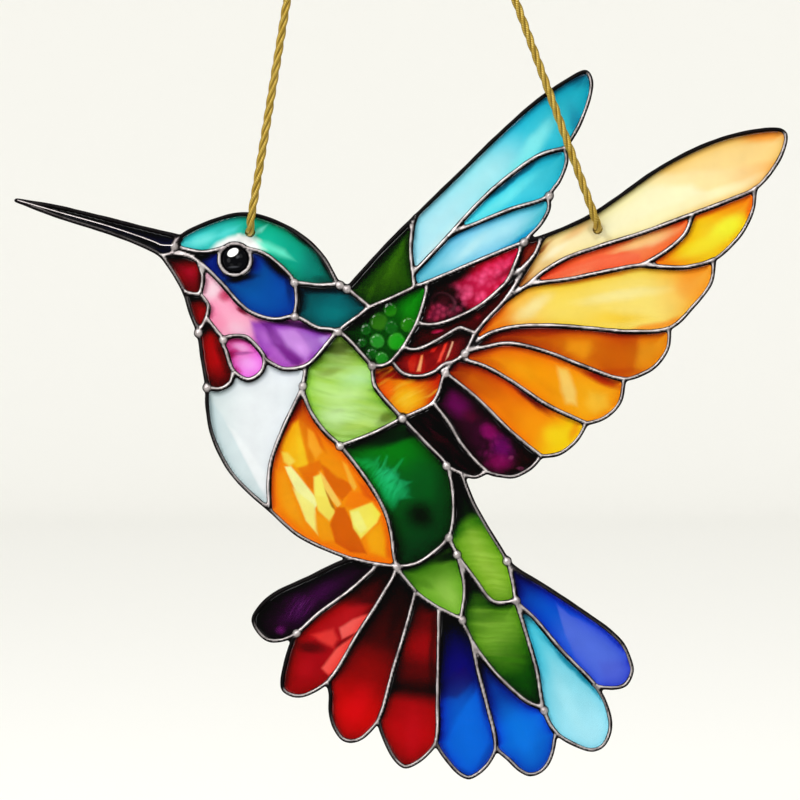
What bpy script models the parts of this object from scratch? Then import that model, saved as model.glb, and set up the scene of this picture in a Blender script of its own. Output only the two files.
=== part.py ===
"""Stained-glass style acrylic suncatcher: a hovering hummingbird on a twisted cord.

The bird is a flat mosaic of coloured acrylic panes held in one soldered metal lattice. The lattice is
drawn as strokes, as a glazier draws the cut lines of a pattern. Each closed field between the strokes
is one pane. Pattern sizes are in millimetres, x to the right and z up from the sheet's lower left
corner. World sizes are in metres, with the front facing -Y and the origin where the hanging ring
bears on its hook.
"""

import math

import bmesh
import bpy
from mathutils import Vector

MM = 0.001

# Driving dimensions, in millimetres.
PANE_THICKNESS = 2.5
CAME_WIDTH = 0.7
CAME_SHOULDER = 0.2
CAME_CROWN = 0.5
GAP = 0.3
EYE_CENTRE = (57.2, 134.0)
EYE_RING_RADIUS = 4.1
EYE_DOME = 1.6
CORD_DIAMETER = 2.0
HOLE_DIAMETER = CORD_DIAMETER + 2 * GAP
HOLES = {"crown": (61.1, 141.0), "cream": (150.8, 141.8)}
STOPPER_RADIUS = 2.3
RING_RADIUS = 8.0
RING_WIRE_RADIUS = 0.9
KNOT_RADII = (4.0, 3.2, 4.2)
KNOT_DROP = 16.5
# The middle of the knot that gathers the two legs of cord, in pattern sizes.
CORD_APEX = (89.9, 307.3)

# A curve gets one point for each of these, whichever it uses up first.
LONGEST_SEGMENT = 16.0
LARGEST_TURN = math.radians(22)
SHARP_CORNER = math.radians(50)
FINE_STEPS = 16
ARC_STEPS = 32
LEAST_EDGE = 0.05

# How many flat sides the round pieces have: round their middle, then from top to bottom or round the wire.
RING_SEGMENTS = 24
RING_WIRE_SIDES = 6
KNOT_FACETS = (12, 8)
STOPPER_FACETS = (8, 6)
DRILL_SEGMENTS = 12
DOME_LEVELS = 3

# The legs of cord, from the back of the hole, through it and up to the hanging knot, in world millimetres.
CORD_ROUTES = {
    "left": (
        (-28.8, 1.2, -182.8), (-28.8, -1.4, -182.8), (-28.7, -3.4, -182.3), (-28.5, -4.8, -180.9),
        (-28.2, -5.4, -178.8), (-26.9, -5.2, -171.0), (-15.2, -2.9, -99.0), (-2.7, -0.4, -21.6),
    ),
    "right": (
        (60.9, 1.2, -182.0), (60.9, -1.4, -182.0), (60.7, -3.4, -181.5), (60.2, -4.8, -180.1),
        (59.5, -5.4, -178.2), (56.8, -5.2, -170.7), (30.0, -2.8, -96.9), (2.7, -0.4, -21.6),
    ),
}
CORD_STEP = 6.0
CORD_BEND_STEP = 2.0
CORD_BEND_LENGTH = 10.0

# Where the cut lines meet.
JOINTS = {
    "beak_tip": (0.3, 149.4), "crown_front": (43.2, 139.8), "brow": (41.6, 137.3),
    "gape": (41.2, 135.3), "throat_top": (38.0, 135.1),
    "cheek_top": (72.5, 128.0), "nape_top": (84.3, 127.3),
    "shoulder_top": (86.1, 126.3), "nape_back": (92.0, 121.5), "neck": (83.8, 115.3),
    "cheek_back": (72.6, 119.2), "gorget_top": (47.7, 133.4), "gorget_mid": (48.2, 124.9),
    "gorget_edge": (43.9, 125.9), "gorget_fork": (49.8, 118.7), "throat_mid": (47.8, 115.0),
    "spot_top": (54.2, 113.2), "spot_side": (56.9, 105.0), "spot_back": (64.8, 108.4),
    "throat_low": (50.0, 100.9), "bib": (76.0, 106.8), "breast_top": (74.7, 101.3),
    "belly_front": (66.2, 69.3), "wing_fold": (92.6, 106.5), "flank": (100.4, 92.9),
    "back": (84.3, 85.8), "tail_front": (87.9, 56.6), "tail_second": (94.4, 55.2), "vent": (99.0, 54.7),
    "rump_front": (111.8, 80.7), "rump": (112.4, 62.2), "covert_mid": (114.5, 57.8),
    "covert_low": (115.9, 40.9), "covert_back": (127.4, 56.1), "covert_side": (129.8, 45.9),
    "covert_tip": (137.0, 17.6), "covert_front": (115.8, 78.6), "notch_1": (73.1, 37.5),
    "notch_2": (81.7, 25.6), "notch_3": (94.4, 15.5), "notch_4": (109.1, 9.6), "notch_5": (124.5, 8.3),
    "notch_6": (140.0, 11.9), "notch_7": (149.9, 24.3), "root_4": (103.9, 48.1),
    "root_5": (109.9, 43.9), "root_6": (118.1, 35.9), "quill_top": (104.0, 145.3),
    "quill_low": (103.2, 130.3), "wing_front": (103.6, 126.7), "primary_1": (142.4, 162.7),
    "primary_2": (138.3, 150.4), "secondary": (112.1, 139.7), "wing_root": (131.8, 138.4),
    "dotted_top": (107.3, 128.2), "magenta_low": (104.1, 117.4), "zig_left": (100.5, 111.1),
    "curl": (97.5, 107.6), "sliver_low": (127.0, 127.6), "cream_top": (137.3, 140.1),
    "wedge_tip": (134.6, 135.2), "cream_low": (126.5, 123.0), "coral_tip": (132.1, 126.9),
    "zig_right": (119.3, 114.8), "zig_peak": (115.2, 116.4), "hub": (116.5, 109.7),
    "hub_low": (115.0, 108.3), "root_join": (113.9, 107.6), "wing_knot": (111.5, 104.6),
    "cream_end": (191.8, 152.5), "coral_top": (175.5, 145.7), "yellow_low": (161.6, 132.4),
    "yellow_end": (180.9, 134.0), "golden_end": (169.4, 116.3), "amber_end": (157.7, 103.1),
    "orange_end": (147.9, 91.6), "rust_end": (136.2, 83.1), "plum_end": (122.3, 79.2),
    "plum_low": (108.3, 96.9),
}

# Each cut line as it is drawn: joints by name, and the points that it bends through on the way.
STROKES = {
    "front edge": (
        "beak_tip", (9.6, 145.8), (19.6, 142.6), (26.1, 140.5), (32.6, 137.9), "throat_top",
        (40.6, 131.6), "gorget_edge", (45.9, 119.9), "throat_mid", (48.8, 108.1), "throat_low",
        (50.0, 96.7), (51.3, 88.9), (56.5, 78.6), "belly_front", (72.9, 63.3), (81.4, 58.9),
        "tail_front", "tail_second", "vent",
    ),
    "beak top": ("beak_tip", (12.9, 147.2), (29.5, 143.1), "crown_front"),
    "beak end": ("crown_front", "brow", "gape"),
    "crown edge": (
        "crown_front", (49.6, 143.2), (59.7, 145.7), (71.3, 142.0), (79.1, 135.7), "nape_top",
    ),
    "gape": (
        "throat_top", "gape", (44.7, 134.8), "gorget_top", (53.8, 127.7), (60.3, 120.9), (67.0, 118.5),
        "cheek_back",
    ),
    "brow": ("brow", (47.5, 135.9), (51.4, 136.1), "eye_left"),
    "cheek top": (
        "eye_right", (62.4, 136.4), (64.9, 135.3), (67.8, 133.2), (70.3, 130.6), "cheek_top",
    ),
    "cheek back": ("cheek_top", (73.2, 123.6), "cheek_back"),
    "crown back": ("cheek_top", (78.6, 127.3), "nape_top"),
    "nape edge": ("nape_top", "shoulder_top", (88.9, 124.2), "nape_back"),
    "nape low": ("cheek_back", (78.1, 116.4), "neck"),
    "gorget front": ("gorget_top", (49.0, 129.2), "gorget_mid"),
    "gorget back": ("gorget_mid", (50.4, 121.8), "gorget_fork", (48.9, 116.7), "throat_mid"),
    "gorget low": ("gorget_mid", (46.1, 125.0), "gorget_edge"),
    "gorget fork": ("gorget_fork", (52.0, 116.1), "spot_top"),
    "spot": (
        "spot_top", (59.5, 114.1), (62.8, 111.4), "spot_back", (64.1, 105.0), (60.7, 102.9),
        "spot_side", (55.4, 109.0), "spot_top",
    ),
    "throat hem": ("spot_side", (56.0, 102.1), (53.1, 100.5), "throat_low"),
    "bib": ("spot_back", (69.8, 105.7), "bib", (80.4, 111.5), "neck"),
    "bib tie": ("bib", (75.1, 103.9), "breast_top"),
    "breast": ("breast_top", (70.6, 92.3), (66.8, 82.7), (65.9, 74.7), "belly_front"),
    "belly back": (
        "breast_top", (76.1, 96.1), (79.7, 90.2), "back", (90.8, 77.6), (96.5, 67.5), "vent",
    ),
    "mantle low": ("back", (93.0, 89.1), "flank"),
    "rump edge": (
        "flank", (106.6, 86.4), "rump_front", (113.6, 73.2), (113.5, 66.2), "rump", (108.6, 58.4),
        (103.9, 55.4), "vent",
    ),
    "scapular front": ("neck", (88.4, 110.6), "wing_fold"),
    "mantle back": ("wing_fold", (93.3, 101.4), (95.9, 97.7), "flank"),
    "wing line": (
        "neck", (88.4, 118.7), "nape_back", (97.8, 124.0), "wing_front", "dotted_top", (118.4, 132.9),
        "wing_root",
    ),
    "back wing edge": (
        "shoulder_top", (95.8, 137.1), "quill_top", (116.8, 157.7), (130.7, 171.1), (139.4, 177.9),
        (144.3, 180.9), (147.8, 182.4), (149.1, 180.2), (148.6, 175.5), (145.3, 167.2), "primary_1",
    ),
    "quill": ("quill_top", (103.0, 141.0), (102.6, 136.6), "quill_low", "wing_front"),
    "primary 1 low": (
        "primary_1", (136.1, 160.9), (130.5, 157.4), (121.3, 149.7), "secondary", "quill_low",
    ),
    "primary 2 edge": ("primary_1", (142.8, 159.5), (141.1, 154.6), "primary_2"),
    "primary 3 edge": ("primary_2", (138.2, 147.1), (136.0, 143.0), "wing_root"),
    "primary 2 low": ("primary_2", (123.6, 145.0), "secondary"),
    "scapular back": (
        "dotted_top", (106.0, 122.8), "magenta_low", "zig_left", "curl", (95.3, 106.5), "wing_fold",
    ),
    "wing bar": (
        "magenta_low", (107.1, 117.0), (110.9, 117.6), (119.8, 121.6), "sliver_low", "wedge_tip", "cream_top",
    ),
    "sliver": ("wing_root", (130.3, 134.4), "sliver_low"),
    "cream root": ("wedge_tip", (131.1, 130.0), "cream_low"),
    "front wing edge": (
        "wing_root", "cream_top", (148.9, 145.2), (163.9, 155.6), (170.1, 159.4), (176.3, 162.5),
        (182.5, 165.0), (188.7, 166.6), (194.9, 167.5), (198.0, 167.4), (199.2, 166.5), (199.4, 164.8),
        (198.6, 162.0), (197.1, 158.9), (194.6, 155.8), "cream_end",
    ),
    "cream low": (
        "cream_end", (186.4, 149.9), "coral_top", (160.0, 140.0), (144.2, 134.9), (137.5, 131.2),
        "coral_tip", "cream_low", (122.8, 119.1), "zig_right", "hub", "hub_low", "root_join",
        "wing_knot",
    ),
    "coral end": (
        "coral_top", (174.6, 143.0), (173.4, 140.6), (171.3, 138.4), (168.6, 136.2), (164.9, 134.0),
        "yellow_low",
    ),
    "yellow edge": ("cream_end", (191.0, 147.3), (187.4, 140.0), "yellow_end"),
    "coral low": (
        "yellow_end", (174.0, 132.0), (167.0, 132.0), "yellow_low", (146.8, 129.5), "coral_tip",
    ),
    "golden edge": (
        "yellow_end", (180.7, 130.8), (179.9, 127.7), (176.6, 123.1), (172.3, 119.1), "golden_end",
    ),
    "golden low": ("golden_end", (159.0, 115.3), (144.0, 116.6), (130.8, 116.7), (122.3, 114.5), "hub"),
    "amber edge": ("golden_end", (168.8, 110.9), (164.7, 105.7), "amber_end"),
    "amber low": ("amber_end", (148.2, 106.0), (137.5, 110.1), (127.4, 112.3), (120.8, 110.9), "hub"),
    "orange edge": ("amber_end", (156.4, 96.9), (152.5, 93.1), "orange_end"),
    "orange low": ("orange_end", (137.5, 96.5), (127.4, 103.2), (120.5, 106.8), "hub_low"),
    "rust edge": ("orange_end", (147.0, 90.0), (145.6, 87.6), (141.2, 84.0), "rust_end"),
    "rust low": ("rust_end", (129.0, 88.9), (120.5, 97.3), "wing_knot"),
    "plum edge": ("rust_end", (133.4, 80.1), (128.7, 77.9), "plum_end"),
    "plum low": ("plum_end", (116.1, 85.6), (111.9, 92.4), "plum_low"),
    "aubergine edge": ("plum_end", (119.2, 77.8), "covert_front", "rump_front"),
    "small orange low": ("flank", (105.0, 94.9), "plum_low", (110.4, 100.8), "wing_knot"),
    "zigzag": ("zig_left", (102.8, 110.6), (105.0, 110.9), (109.2, 112.9), "zig_peak"),
    "zigzag back": ("zig_peak", "zig_right"),
    "red low": ("curl", (100.6, 104.5), (104.5, 103.7), (108.7, 104.9), (111.3, 106.9), "root_join"),
    "covert edge": ("covert_front", (118.2, 72.3), (122.8, 63.9), "covert_back"),
    "covert parting": ("rump", "covert_mid", (119.2, 51.2), (124.1, 45.5), "covert_side"),
    "covert back": (
        "covert_back", (128.9, 50.9), "covert_side", (131.6, 39.8), (134.7, 29.7), "covert_tip",
    ),
    "covert split": ("covert_mid", (116.5, 49.9), "covert_low"),
    "covert low": ("vent", "root_4", "root_5", "covert_low"),
    "covert point": (
        "covert_low", "root_6", (124.5, 27.0), (127.8, 23.8), (130.4, 21.4), (133.2, 19.4), "covert_tip",
    ),
    "tail 1 edge": (
        "tail_front", (79.1, 52.9), (66.7, 47.0), (62.0, 41.4), (63.1, 38.1), (65.9, 35.8), (69.3, 35.8),
        "notch_1",
    ),
    "tail 1 low": ("notch_1", (76.8, 41.0), (80.8, 44.0), (85.2, 47.2), (89.5, 50.7), "tail_second"),
    "tail 2 edge": (
        "notch_1", (72.0, 34.4), (70.5, 30.2), (69.6, 26.4), (69.7, 23.0), (72.2, 21.5), (75.0, 21.5),
        (78.2, 23.1), "notch_2",
    ),
    "tail 2 low": ("notch_2", (88.1, 35.9), (95.5, 47.6), "vent"),
    "tail 3 edge": (
        "notch_2", (82.0, 22.6), (81.7, 19.0), (82.1, 15.6), (83.3, 12.5), (85.1, 10.3), (87.4, 9.7),
        (90.2, 10.7), "notch_3",
    ),
    "tail 3 low": ("notch_3", (98.0, 27.7), (101.3, 38.5), "root_4"),
    "tail 4 edge": (
        "notch_3", (95.5, 12.1), (96.6, 8.6), (98.2, 5.5), (101.2, 3.1), (105.8, 5.4), (107.6, 7.4),
        "notch_4",
    ),
    "tail 4 low": ("notch_4", (109.7, 26.6), "root_5"),
    "tail 5 edge": (
        "notch_4", (110.9, 6.9), (112.8, 3.7), (115.1, 1.4), (117.6, 0.3), (120.2, 1.6), (122.8, 4.2),
        "notch_5",
    ),
    "tail 5 low": ("notch_5", (122.2, 19.4), (119.5, 29.7), "root_6"),
    "tail 6 edge": (
        "notch_5", (126.9, 6.2), (129.4, 3.3), (133.0, 1.1), (136.1, 1.9), (138.5, 5.0), "notch_6",
    ),
    "tail 6 low": ("notch_6", (138.6, 15.0), "covert_tip"),
    "tail 7 edge": (
        "notch_6", (142.9, 10.1), (146.7, 8.0), (149.6, 7.4), (151.9, 8.3), (153.5, 10.8), (154.1, 14.2),
        (152.5, 20.2), "notch_7",
    ),
    "tail 7 low": ("notch_7", (147.3, 27.0), (140.4, 34.2), (133.3, 42.6), "covert_side"),
    "tail 8 edge": (
        "covert_back", (131.8, 52.9), (138.5, 48.7), (145.2, 44.2), (151.9, 39.7), (157.3, 34.6),
        (159.0, 30.9), (159.7, 28.3), (159.2, 26.2), (157.8, 24.2), (155.2, 23.4), (152.5, 23.6),
        "notch_7",
    ),
}

# The eye's ring is a round cut line: an arc over the eye and one under it, in degrees anticlockwise.
EYE_JOINTS = {"eye_left": 130, "eye_right": 45}
EYE_ARCS = (("eye_left", "eye_right", 130, 45), ("eye_right", "eye_left", 45, -230))

# A point inside each pane, and its colour.
PANES = {
    "beak": ((37.7, 138.0), "#0b0f1f"),
    "crown": ((68.8, 139.1), "#19b79c"),
    "eye": (EYE_CENTRE, "#050506"),
    "cheek": ((64.9, 124.9), "#0a48a8"),
    "nape": ((80.4, 122.3), "#006a72"),
    "throat_upper": ((46.3, 130.0), "#9a0010"),
    "throat_middle": ((47.3, 120.5), "#8d0008"),
    "throat_lower": ((52.0, 106.8), "#b00008"),
    "blush": ((58.4, 119.7), "#e99fdc"),
    "throat_spot": ((59.7, 108.1), "#f26fe0"),
    "breast": ((58.4, 87.4), "#e9eef2"),
    "mantle": ((85.6, 100.3), "#a4d860"),
    "scapular": ((94.6, 117.1), "#0b8a1e"),
    "belly": ((79.1, 71.9), "#ff9a0a"),
    "rump": ((102.4, 74.4), "#066b16"),
    "small_orange": ((102.4, 99.0), "#ff9c12"),
    "red_streak": ((107.5, 108.8), "#b00a05"),
    "maroon_wedge": ((117.9, 118.9), "#2c0508"),
    "magenta": ((120.5, 127.4), "#e8286e"),
    "red_sliver": ((132.1, 135.2), "#a81414"),
    "wing_base": ((95.9, 130.0), "#25520a"),
    "back_primary_1": ((125.6, 162.3), "#4fd0e4"),
    "back_primary_2": ((130.8, 152.0), "#3fcbe0"),
    "back_primary_3": ((120.5, 139.1), "#98e2f6"),
    "cream": ((164.4, 149.4), "#fbe09a"),
    "coral": ((159.2, 135.2), "#ff7c48"),
    "yellow": ((179.9, 139.1), "#ffd520"),
    "golden": ((156.7, 123.6), "#fbd34e"),
    "amber": ((151.5, 111.9), "#d66c10"),
    "orange": ((141.1, 101.6), "#fb9a08"),
    "rust": ((133.4, 92.5), "#f09210"),
    "plum": ((125.6, 84.8), "#4a0648"),
    "aubergine": ((110.1, 87.4), "#16020e"),
    "covert_long": ((119.2, 58.9), "#7da82c"),
    "covert_short": ((110.1, 51.2), "#78bc38"),
    "covert_point": ((125.6, 35.7), "#56981a"),
    "tail_1": ((71.3, 43.4), "#2a0438"),
    "tail_2": ((76.5, 30.5), "#c81a1c"),
    "tail_3": ((89.4, 22.7), "#b8000e"),
    "tail_4": ((102.4, 17.6), "#a4000c"),
    "tail_5": ((115.3, 15.0), "#0c4ac0"),
    "tail_6": ((130.8, 12.4), "#0b60d4"),
    "tail_7": ((143.7, 20.2), "#93dfe8"),
    "tail_8": ((151.5, 33.1), "#2f5ce0"),
}


def blend(a, b, start, end, t):
    """The point at t on the line that is at a when t is start and at b when t is end."""
    return a + (b - a) * ((t - start) / (end - start))


def smooth_span(before, start, end, after):
    """Fine points from start to end on a centripetal Catmull-Rom curve."""
    corners = (before, start, end, after)
    knots = [0.0]
    for a, b in zip(corners, corners[1:]):
        knots.append(knots[-1] + math.sqrt((b - a).length))
    points = []
    for step in range(FINE_STEPS + 1):
        t = knots[1] + (knots[2] - knots[1]) * step / FINE_STEPS
        first = [blend(corners[i], corners[i + 1], knots[i], knots[i + 1], t) for i in range(3)]
        second = [blend(first[i], first[i + 1], knots[i], knots[i + 2], t) for i in range(2)]
        points.append(blend(*second, knots[1], knots[2], t))
    return points


def smooth_spans(points):
    """One list of fine points for each pair of neighbours. A line that ends where it began is closed."""
    if points[0] == points[-1]:
        before, after = points[-2], points[1]
    else:
        before, after = 2 * points[0] - points[1], 2 * points[-1] - points[-2]
    corners = [before, *points, after]
    return [smooth_span(*corners[i : i + 4]) for i in range(len(points) - 1)]


def thinned(points):
    """As few of a fine curve's points as keep its shape, with both of its ends."""
    used = [0.0]
    for i in range(1, len(points)):
        step = points[i] - points[i - 1]
        turn = step.angle(points[i - 1] - points[i - 2], 0.0) if i > 1 else 0.0
        used.append(used[-1] + step.length / LONGEST_SEGMENT + turn / LARGEST_TURN)
    count = math.ceil(used[-1])
    kept = [points[0]]
    for number in range(1, count):
        wanted = used[-1] * number / count
        kept.append(points[next(i for i, value in enumerate(used) if value >= wanted)])
    return [*kept, points[-1]]


def on_eye_ring(degrees):
    """The point of the eye's ring at an angle from the +X direction."""
    angle = math.radians(degrees)
    return Vector(EYE_CENTRE) + EYE_RING_RADIUS * Vector((math.cos(angle), math.sin(angle)))


def cut_lines():
    """Each cut line between two joints, as (first joint, last joint, points)."""
    places = {name: Vector(place) for name, place in JOINTS.items()}
    places.update({name: on_eye_ring(degrees) for name, degrees in EYE_JOINTS.items()})
    lines = []
    for stroke in STROKES.values():
        spans = smooth_spans([places[item] if isinstance(item, str) else Vector(item) for item in stroke])
        start, points = stroke[0], []
        for item, span in zip(stroke[1:], spans):
            points += span if not points else span[1:]
            if isinstance(item, str):
                lines.append((start, item, thinned(points)))
                start, points = item, []
    for start, end, first, last in EYE_ARCS:
        arc = [on_eye_ring(first + (last - first) * step / ARC_STEPS) for step in range(1, ARC_STEPS)]
        lines.append((start, end, thinned([places[start], *arc, places[end]])))
    return lines


def area(points):
    """The area inside a closed line, positive when it runs anticlockwise."""
    return sum(points[i - 1].cross(points[i]) for i in range(len(points))) / 2


def closed_fields(lines):
    """The fields between the cut lines, each a closed line of points with the field on its left."""
    halves = []
    for start, end, points in lines:
        halves += [(start, end, points), (end, start, points[::-1])]
    leaving = {}
    for number, (start, _, points) in enumerate(halves):
        heading = points[1] - points[0]
        leaving.setdefault(start, []).append((math.atan2(heading.y, heading.x), number))
    following = {}
    for ways in leaving.values():
        ways.sort()
        for place, (_, number) in enumerate(ways):
            following[number ^ 1] = ways[place - 1][1]
    fields, left = [], set(following)
    while left:
        number, field = min(left), []
        while number in left:
            left.remove(number)
            field += halves[number][2][:-1]
            number = following[number]
        fields.append(field)
    return fields


def holds(field, point):
    """Whether a closed line goes round a point."""
    inside = False
    for i, a in enumerate(field):
        b = field[i - 1]
        if (a.y > point.y) != (b.y > point.y):
            inside ^= point.x < a.x + (b.x - a.x) * (point.y - a.y) / (b.y - a.y)
    return inside


def crossing(a, b, c, d):
    """The point where the lines from a to b and from c to d cross between their ends, or None."""
    along, across = b - a, d - c
    spread = along.cross(across)
    if abs(spread) < 1e-9:
        return None
    first = (c - a).cross(across) / spread
    second = (c - a).cross(along) / spread
    inner = 1e-6
    if inner < first < 1 - inner and inner < second < 1 - inner:
        return a + along * first
    return None


def first_crossing(points):
    """The first two sides of a closed line that cross, with the point where they do, or None."""
    count = len(points)
    for i in range(count):
        for j in range(i + 2, count):
            found = crossing(points[i], points[i + 1], points[j], points[(j + 1) % count])
            if found:
                return i, j, found
    return None


def left_offset(field, distance):
    """A closed line moved to its left, as (index of the line's own point, moved point) pairs.

    Where the moved sides cross, as in a pane's sharp tip, the pairs past the crossing share its point.
    """
    pairs = []
    for i, point in enumerate(field):
        arriving = (point - field[i - 1]).normalized()
        leaving = (field[(i + 1) % len(field)] - point).normalized()
        turn = math.atan2(arriving.cross(leaving), arriving.dot(leaving))
        first, last = Vector((-arriving.y, arriving.x)), Vector((-leaving.y, leaving.x))
        if abs(turn) < SHARP_CORNER:
            pairs.append((i, point + (first + last).normalized() * (distance / math.cos(turn / 2))))
        elif turn > 0:
            pairs += [(i, point + first * distance), (i, point + last * distance)]
        else:
            middle = (first + last + (arriving - leaving) / 2).normalized()
            pairs += [(i, point + side * distance) for side in (first, middle, last)]
    while found := first_crossing([point for _, point in pairs]):
        i, j, meeting = found
        inner, outer = range(i + 1, j + 1), [*range(j + 1, len(pairs)), *range(i + 1)]
        sizes = [abs(area([pairs[k][1] for k in loop])) for loop in (inner, outer)]
        for k in inner if sizes[0] < sizes[1] else outer:
            pairs[k] = (pairs[k][0], meeting)
    return pairs


def world(point, y):
    """A pattern point at depth y, as a place in the world."""
    return Vector((point.x - CORD_APEX[0], y, point.y - CORD_APEX[1] - KNOT_DROP)) * MM


def material(name, colour, roughness, metallic=0.0):
    """A Principled material of an sRGB hex colour."""
    made = bpy.data.materials.new(name)
    made.use_nodes = True
    parts = [int(colour[i : i + 2], 16) / 255 for i in (1, 3, 5)]
    linear = [c / 12.92 if c <= 0.04045 else ((c + 0.055) / 1.055) ** 2.4 for c in parts]
    shader = made.node_tree.nodes["Principled BSDF"]
    shader.inputs["Base Color"].default_value = (*linear, 1)
    shader.inputs["Roughness"].default_value = roughness
    shader.inputs["Metallic"].default_value = metallic
    return made


def add_object(name, data, finish, smooth=False):
    """Puts a mesh or a curve in the scene as one named piece."""
    made = bpy.data.objects.new(name, data)
    bpy.context.scene.collection.objects.link(made)
    data.materials.append(finish)
    if smooth:
        data.shade_smooth()
    return made


def mesh_from(shape, name):
    """A bmesh's faces turned outwards and kept as a mesh."""
    bmesh.ops.recalc_face_normals(shape, faces=shape.faces)
    mesh = bpy.data.meshes.new(name)
    shape.to_mesh(mesh)
    shape.free()
    return mesh


def lattice(fields):
    """The soldered lattice: a low ridge along each cut line, front and back, with walls round each field."""
    shape = bmesh.new()
    known = {}

    def corner(point, y):
        key = (round(point.x, 3), round(point.y, 3), round(y, 3))
        if key not in known:
            known[key] = shape.verts.new(world(point, y))
        return known[key]

    def side(*corners):
        kept = [c for i, c in enumerate(corners) if c != corners[i - 1]]
        if len(kept) > 2:
            shape.faces.new(kept)

    shoulder = PANE_THICKNESS / 2 + CAME_SHOULDER
    crown = PANE_THICKNESS / 2 + CAME_CROWN
    for field in fields:
        pairs = left_offset(field, CAME_WIDTH / 2)
        for i in range(len(pairs)):
            (a, low), (b, high) = pairs[i - 1], pairs[i]
            start, end = field[a], field[b]
            ridge = ((start, crown), (end, crown), (high, shoulder), (low, shoulder))
            side(*(corner(point, -y) for point, y in ridge))
            side(*(corner(point, y) for point, y in reversed(ridge)))
            wall = ((low, -shoulder), (high, -shoulder), (high, shoulder), (low, shoulder))
            side(*(corner(point, y) for point, y in wall))
    return mesh_from(shape, "leading")


def pane_outline(field):
    """The cut edge of the pane that fills a field, clear of the lattice."""
    outline = []
    for _, point in left_offset(field, CAME_WIDTH / 2 + GAP):
        if not outline or (point - outline[-1]).length > LEAST_EDGE:
            outline.append(point)
    return outline if (outline[0] - outline[-1]).length > LEAST_EDGE else outline[:-1]


def pane(name, outline):
    """A flat pane. Its front is the same outline nearer the viewer."""
    shape = bmesh.new()
    front = [shape.verts.new(world(point, -PANE_THICKNESS / 2)) for point in outline]
    back = [shape.verts.new(world(point, PANE_THICKNESS / 2)) for point in outline]
    shape.faces.new(front)
    shape.faces.new(back[::-1])
    for i in range(len(outline)):
        shape.faces.new((front[i - 1], front[i], back[i], back[i - 1]))
    return mesh_from(shape, name)


def domed_eye(outline):
    """The eye: a round pane whose front rises in a dome."""
    shape = bmesh.new()
    centre = Vector(EYE_CENTRE)
    rings = [[shape.verts.new(world(point, PANE_THICKNESS / 2)) for point in outline]]
    for level in range(DOME_LEVELS):
        angle = math.pi / 2 * level / DOME_LEVELS
        y = -PANE_THICKNESS / 2 - EYE_DOME * math.sin(angle)
        rings.append([shape.verts.new(world(centre.lerp(point, math.cos(angle)), y)) for point in outline])
    pole = shape.verts.new(world(centre, -PANE_THICKNESS / 2 - EYE_DOME))
    shape.faces.new(rings[0][::-1])
    for low, high in zip(rings, rings[1:]):
        for i in range(len(outline)):
            shape.faces.new((low[i - 1], low[i], high[i], high[i - 1]))
    for i in range(len(outline)):
        shape.faces.new((rings[-1][i - 1], rings[-1][i], pole))
    return mesh_from(shape, "eye")


def ball(name, centre, radii, facets):
    """A round body with its own radius along each axis, in millimetres."""
    shape = bmesh.new()
    bmesh.ops.create_uvsphere(shape, u_segments=facets[0], v_segments=facets[1], radius=1)
    for vertex in shape.verts:
        vertex.co = Vector([(c + v * r) * MM for c, v, r in zip(centre, vertex.co, radii)])
    return mesh_from(shape, name)


def upright_ring(name, wire_radius):
    """A ring of round wire that stands in the bird's plane, its top bearing on the origin."""
    shape = bmesh.new()
    centre = Vector((0, 0, RING_WIRE_RADIUS - RING_RADIUS))
    loops = []
    for i in range(RING_SEGMENTS):
        turn = 2 * math.pi * i / RING_SEGMENTS
        loop = []
        for j in range(RING_WIRE_SIDES):
            around = 2 * math.pi * j / RING_WIRE_SIDES
            reach = RING_RADIUS + wire_radius * math.cos(around)
            place = Vector((reach * math.sin(turn), wire_radius * math.sin(around), reach * math.cos(turn)))
            loop.append(shape.verts.new((centre + place) * MM))
        loops.append(loop)
    for i, loop in enumerate(loops):
        for j in range(RING_WIRE_SIDES):
            shape.faces.new((loops[i - 1][j - 1], loops[i - 1][j], loop[j], loop[j - 1]))
    return mesh_from(shape, name)


def cut(piece, name, cutter_mesh):
    """Takes a cutter's shape away from a piece."""
    cutter = bpy.data.objects.new(name, cutter_mesh)
    bpy.context.scene.collection.objects.link(cutter)
    cutter.hide_render = True
    cutter.display_type = "WIRE"
    modifier = piece.modifiers.new(name, "BOOLEAN")
    modifier.operation = "DIFFERENCE"
    modifier.solver = "EXACT"
    modifier.object = cutter


def drill(name, centre):
    """A round bar along Y that drills a cord hole, its middle at a pattern point."""
    shape = bmesh.new()
    radius, length = HOLE_DIAMETER / 2 * MM, 3 * PANE_THICKNESS * MM
    bmesh.ops.create_cone(
        shape, cap_ends=True, segments=DRILL_SEGMENTS, radius1=radius, radius2=radius, depth=length
    )
    place = world(Vector(centre), 0)
    for vertex in shape.verts:
        vertex.co = Vector((vertex.co.x, -vertex.co.z, vertex.co.y)) + place
    return mesh_from(shape, name)


def cord(name, route):
    """A round cord along a smooth curve through its route, with closer points in the bend at the hole."""
    fine = []
    for span in smooth_spans([Vector(point) for point in route]):
        fine += span[1:] if fine else span
    kept, travelled, since = [fine[0]], 0.0, 0.0
    for a, b in zip(fine, fine[1:]):
        travelled += (b - a).length
        since += (b - a).length
        if since >= (CORD_BEND_STEP if travelled < CORD_BEND_LENGTH else CORD_STEP):
            kept.append(b)
            since = 0.0
    if (kept[-1] - fine[-1]).length < CORD_STEP / 2:
        kept.pop()
    kept.append(fine[-1])
    curve = bpy.data.curves.new(name, "CURVE")
    curve.dimensions = "3D"
    curve.bevel_depth = CORD_DIAMETER / 2 * MM
    curve.bevel_resolution = 2
    curve.use_fill_caps = True
    spline = curve.splines.new("POLY")
    spline.points.add(len(kept) - 1)
    for point, place in zip(spline.points, kept):
        point.co = (*(place * MM), 1)
        point.radius = 1
    spline.use_smooth = True
    return curve


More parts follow.
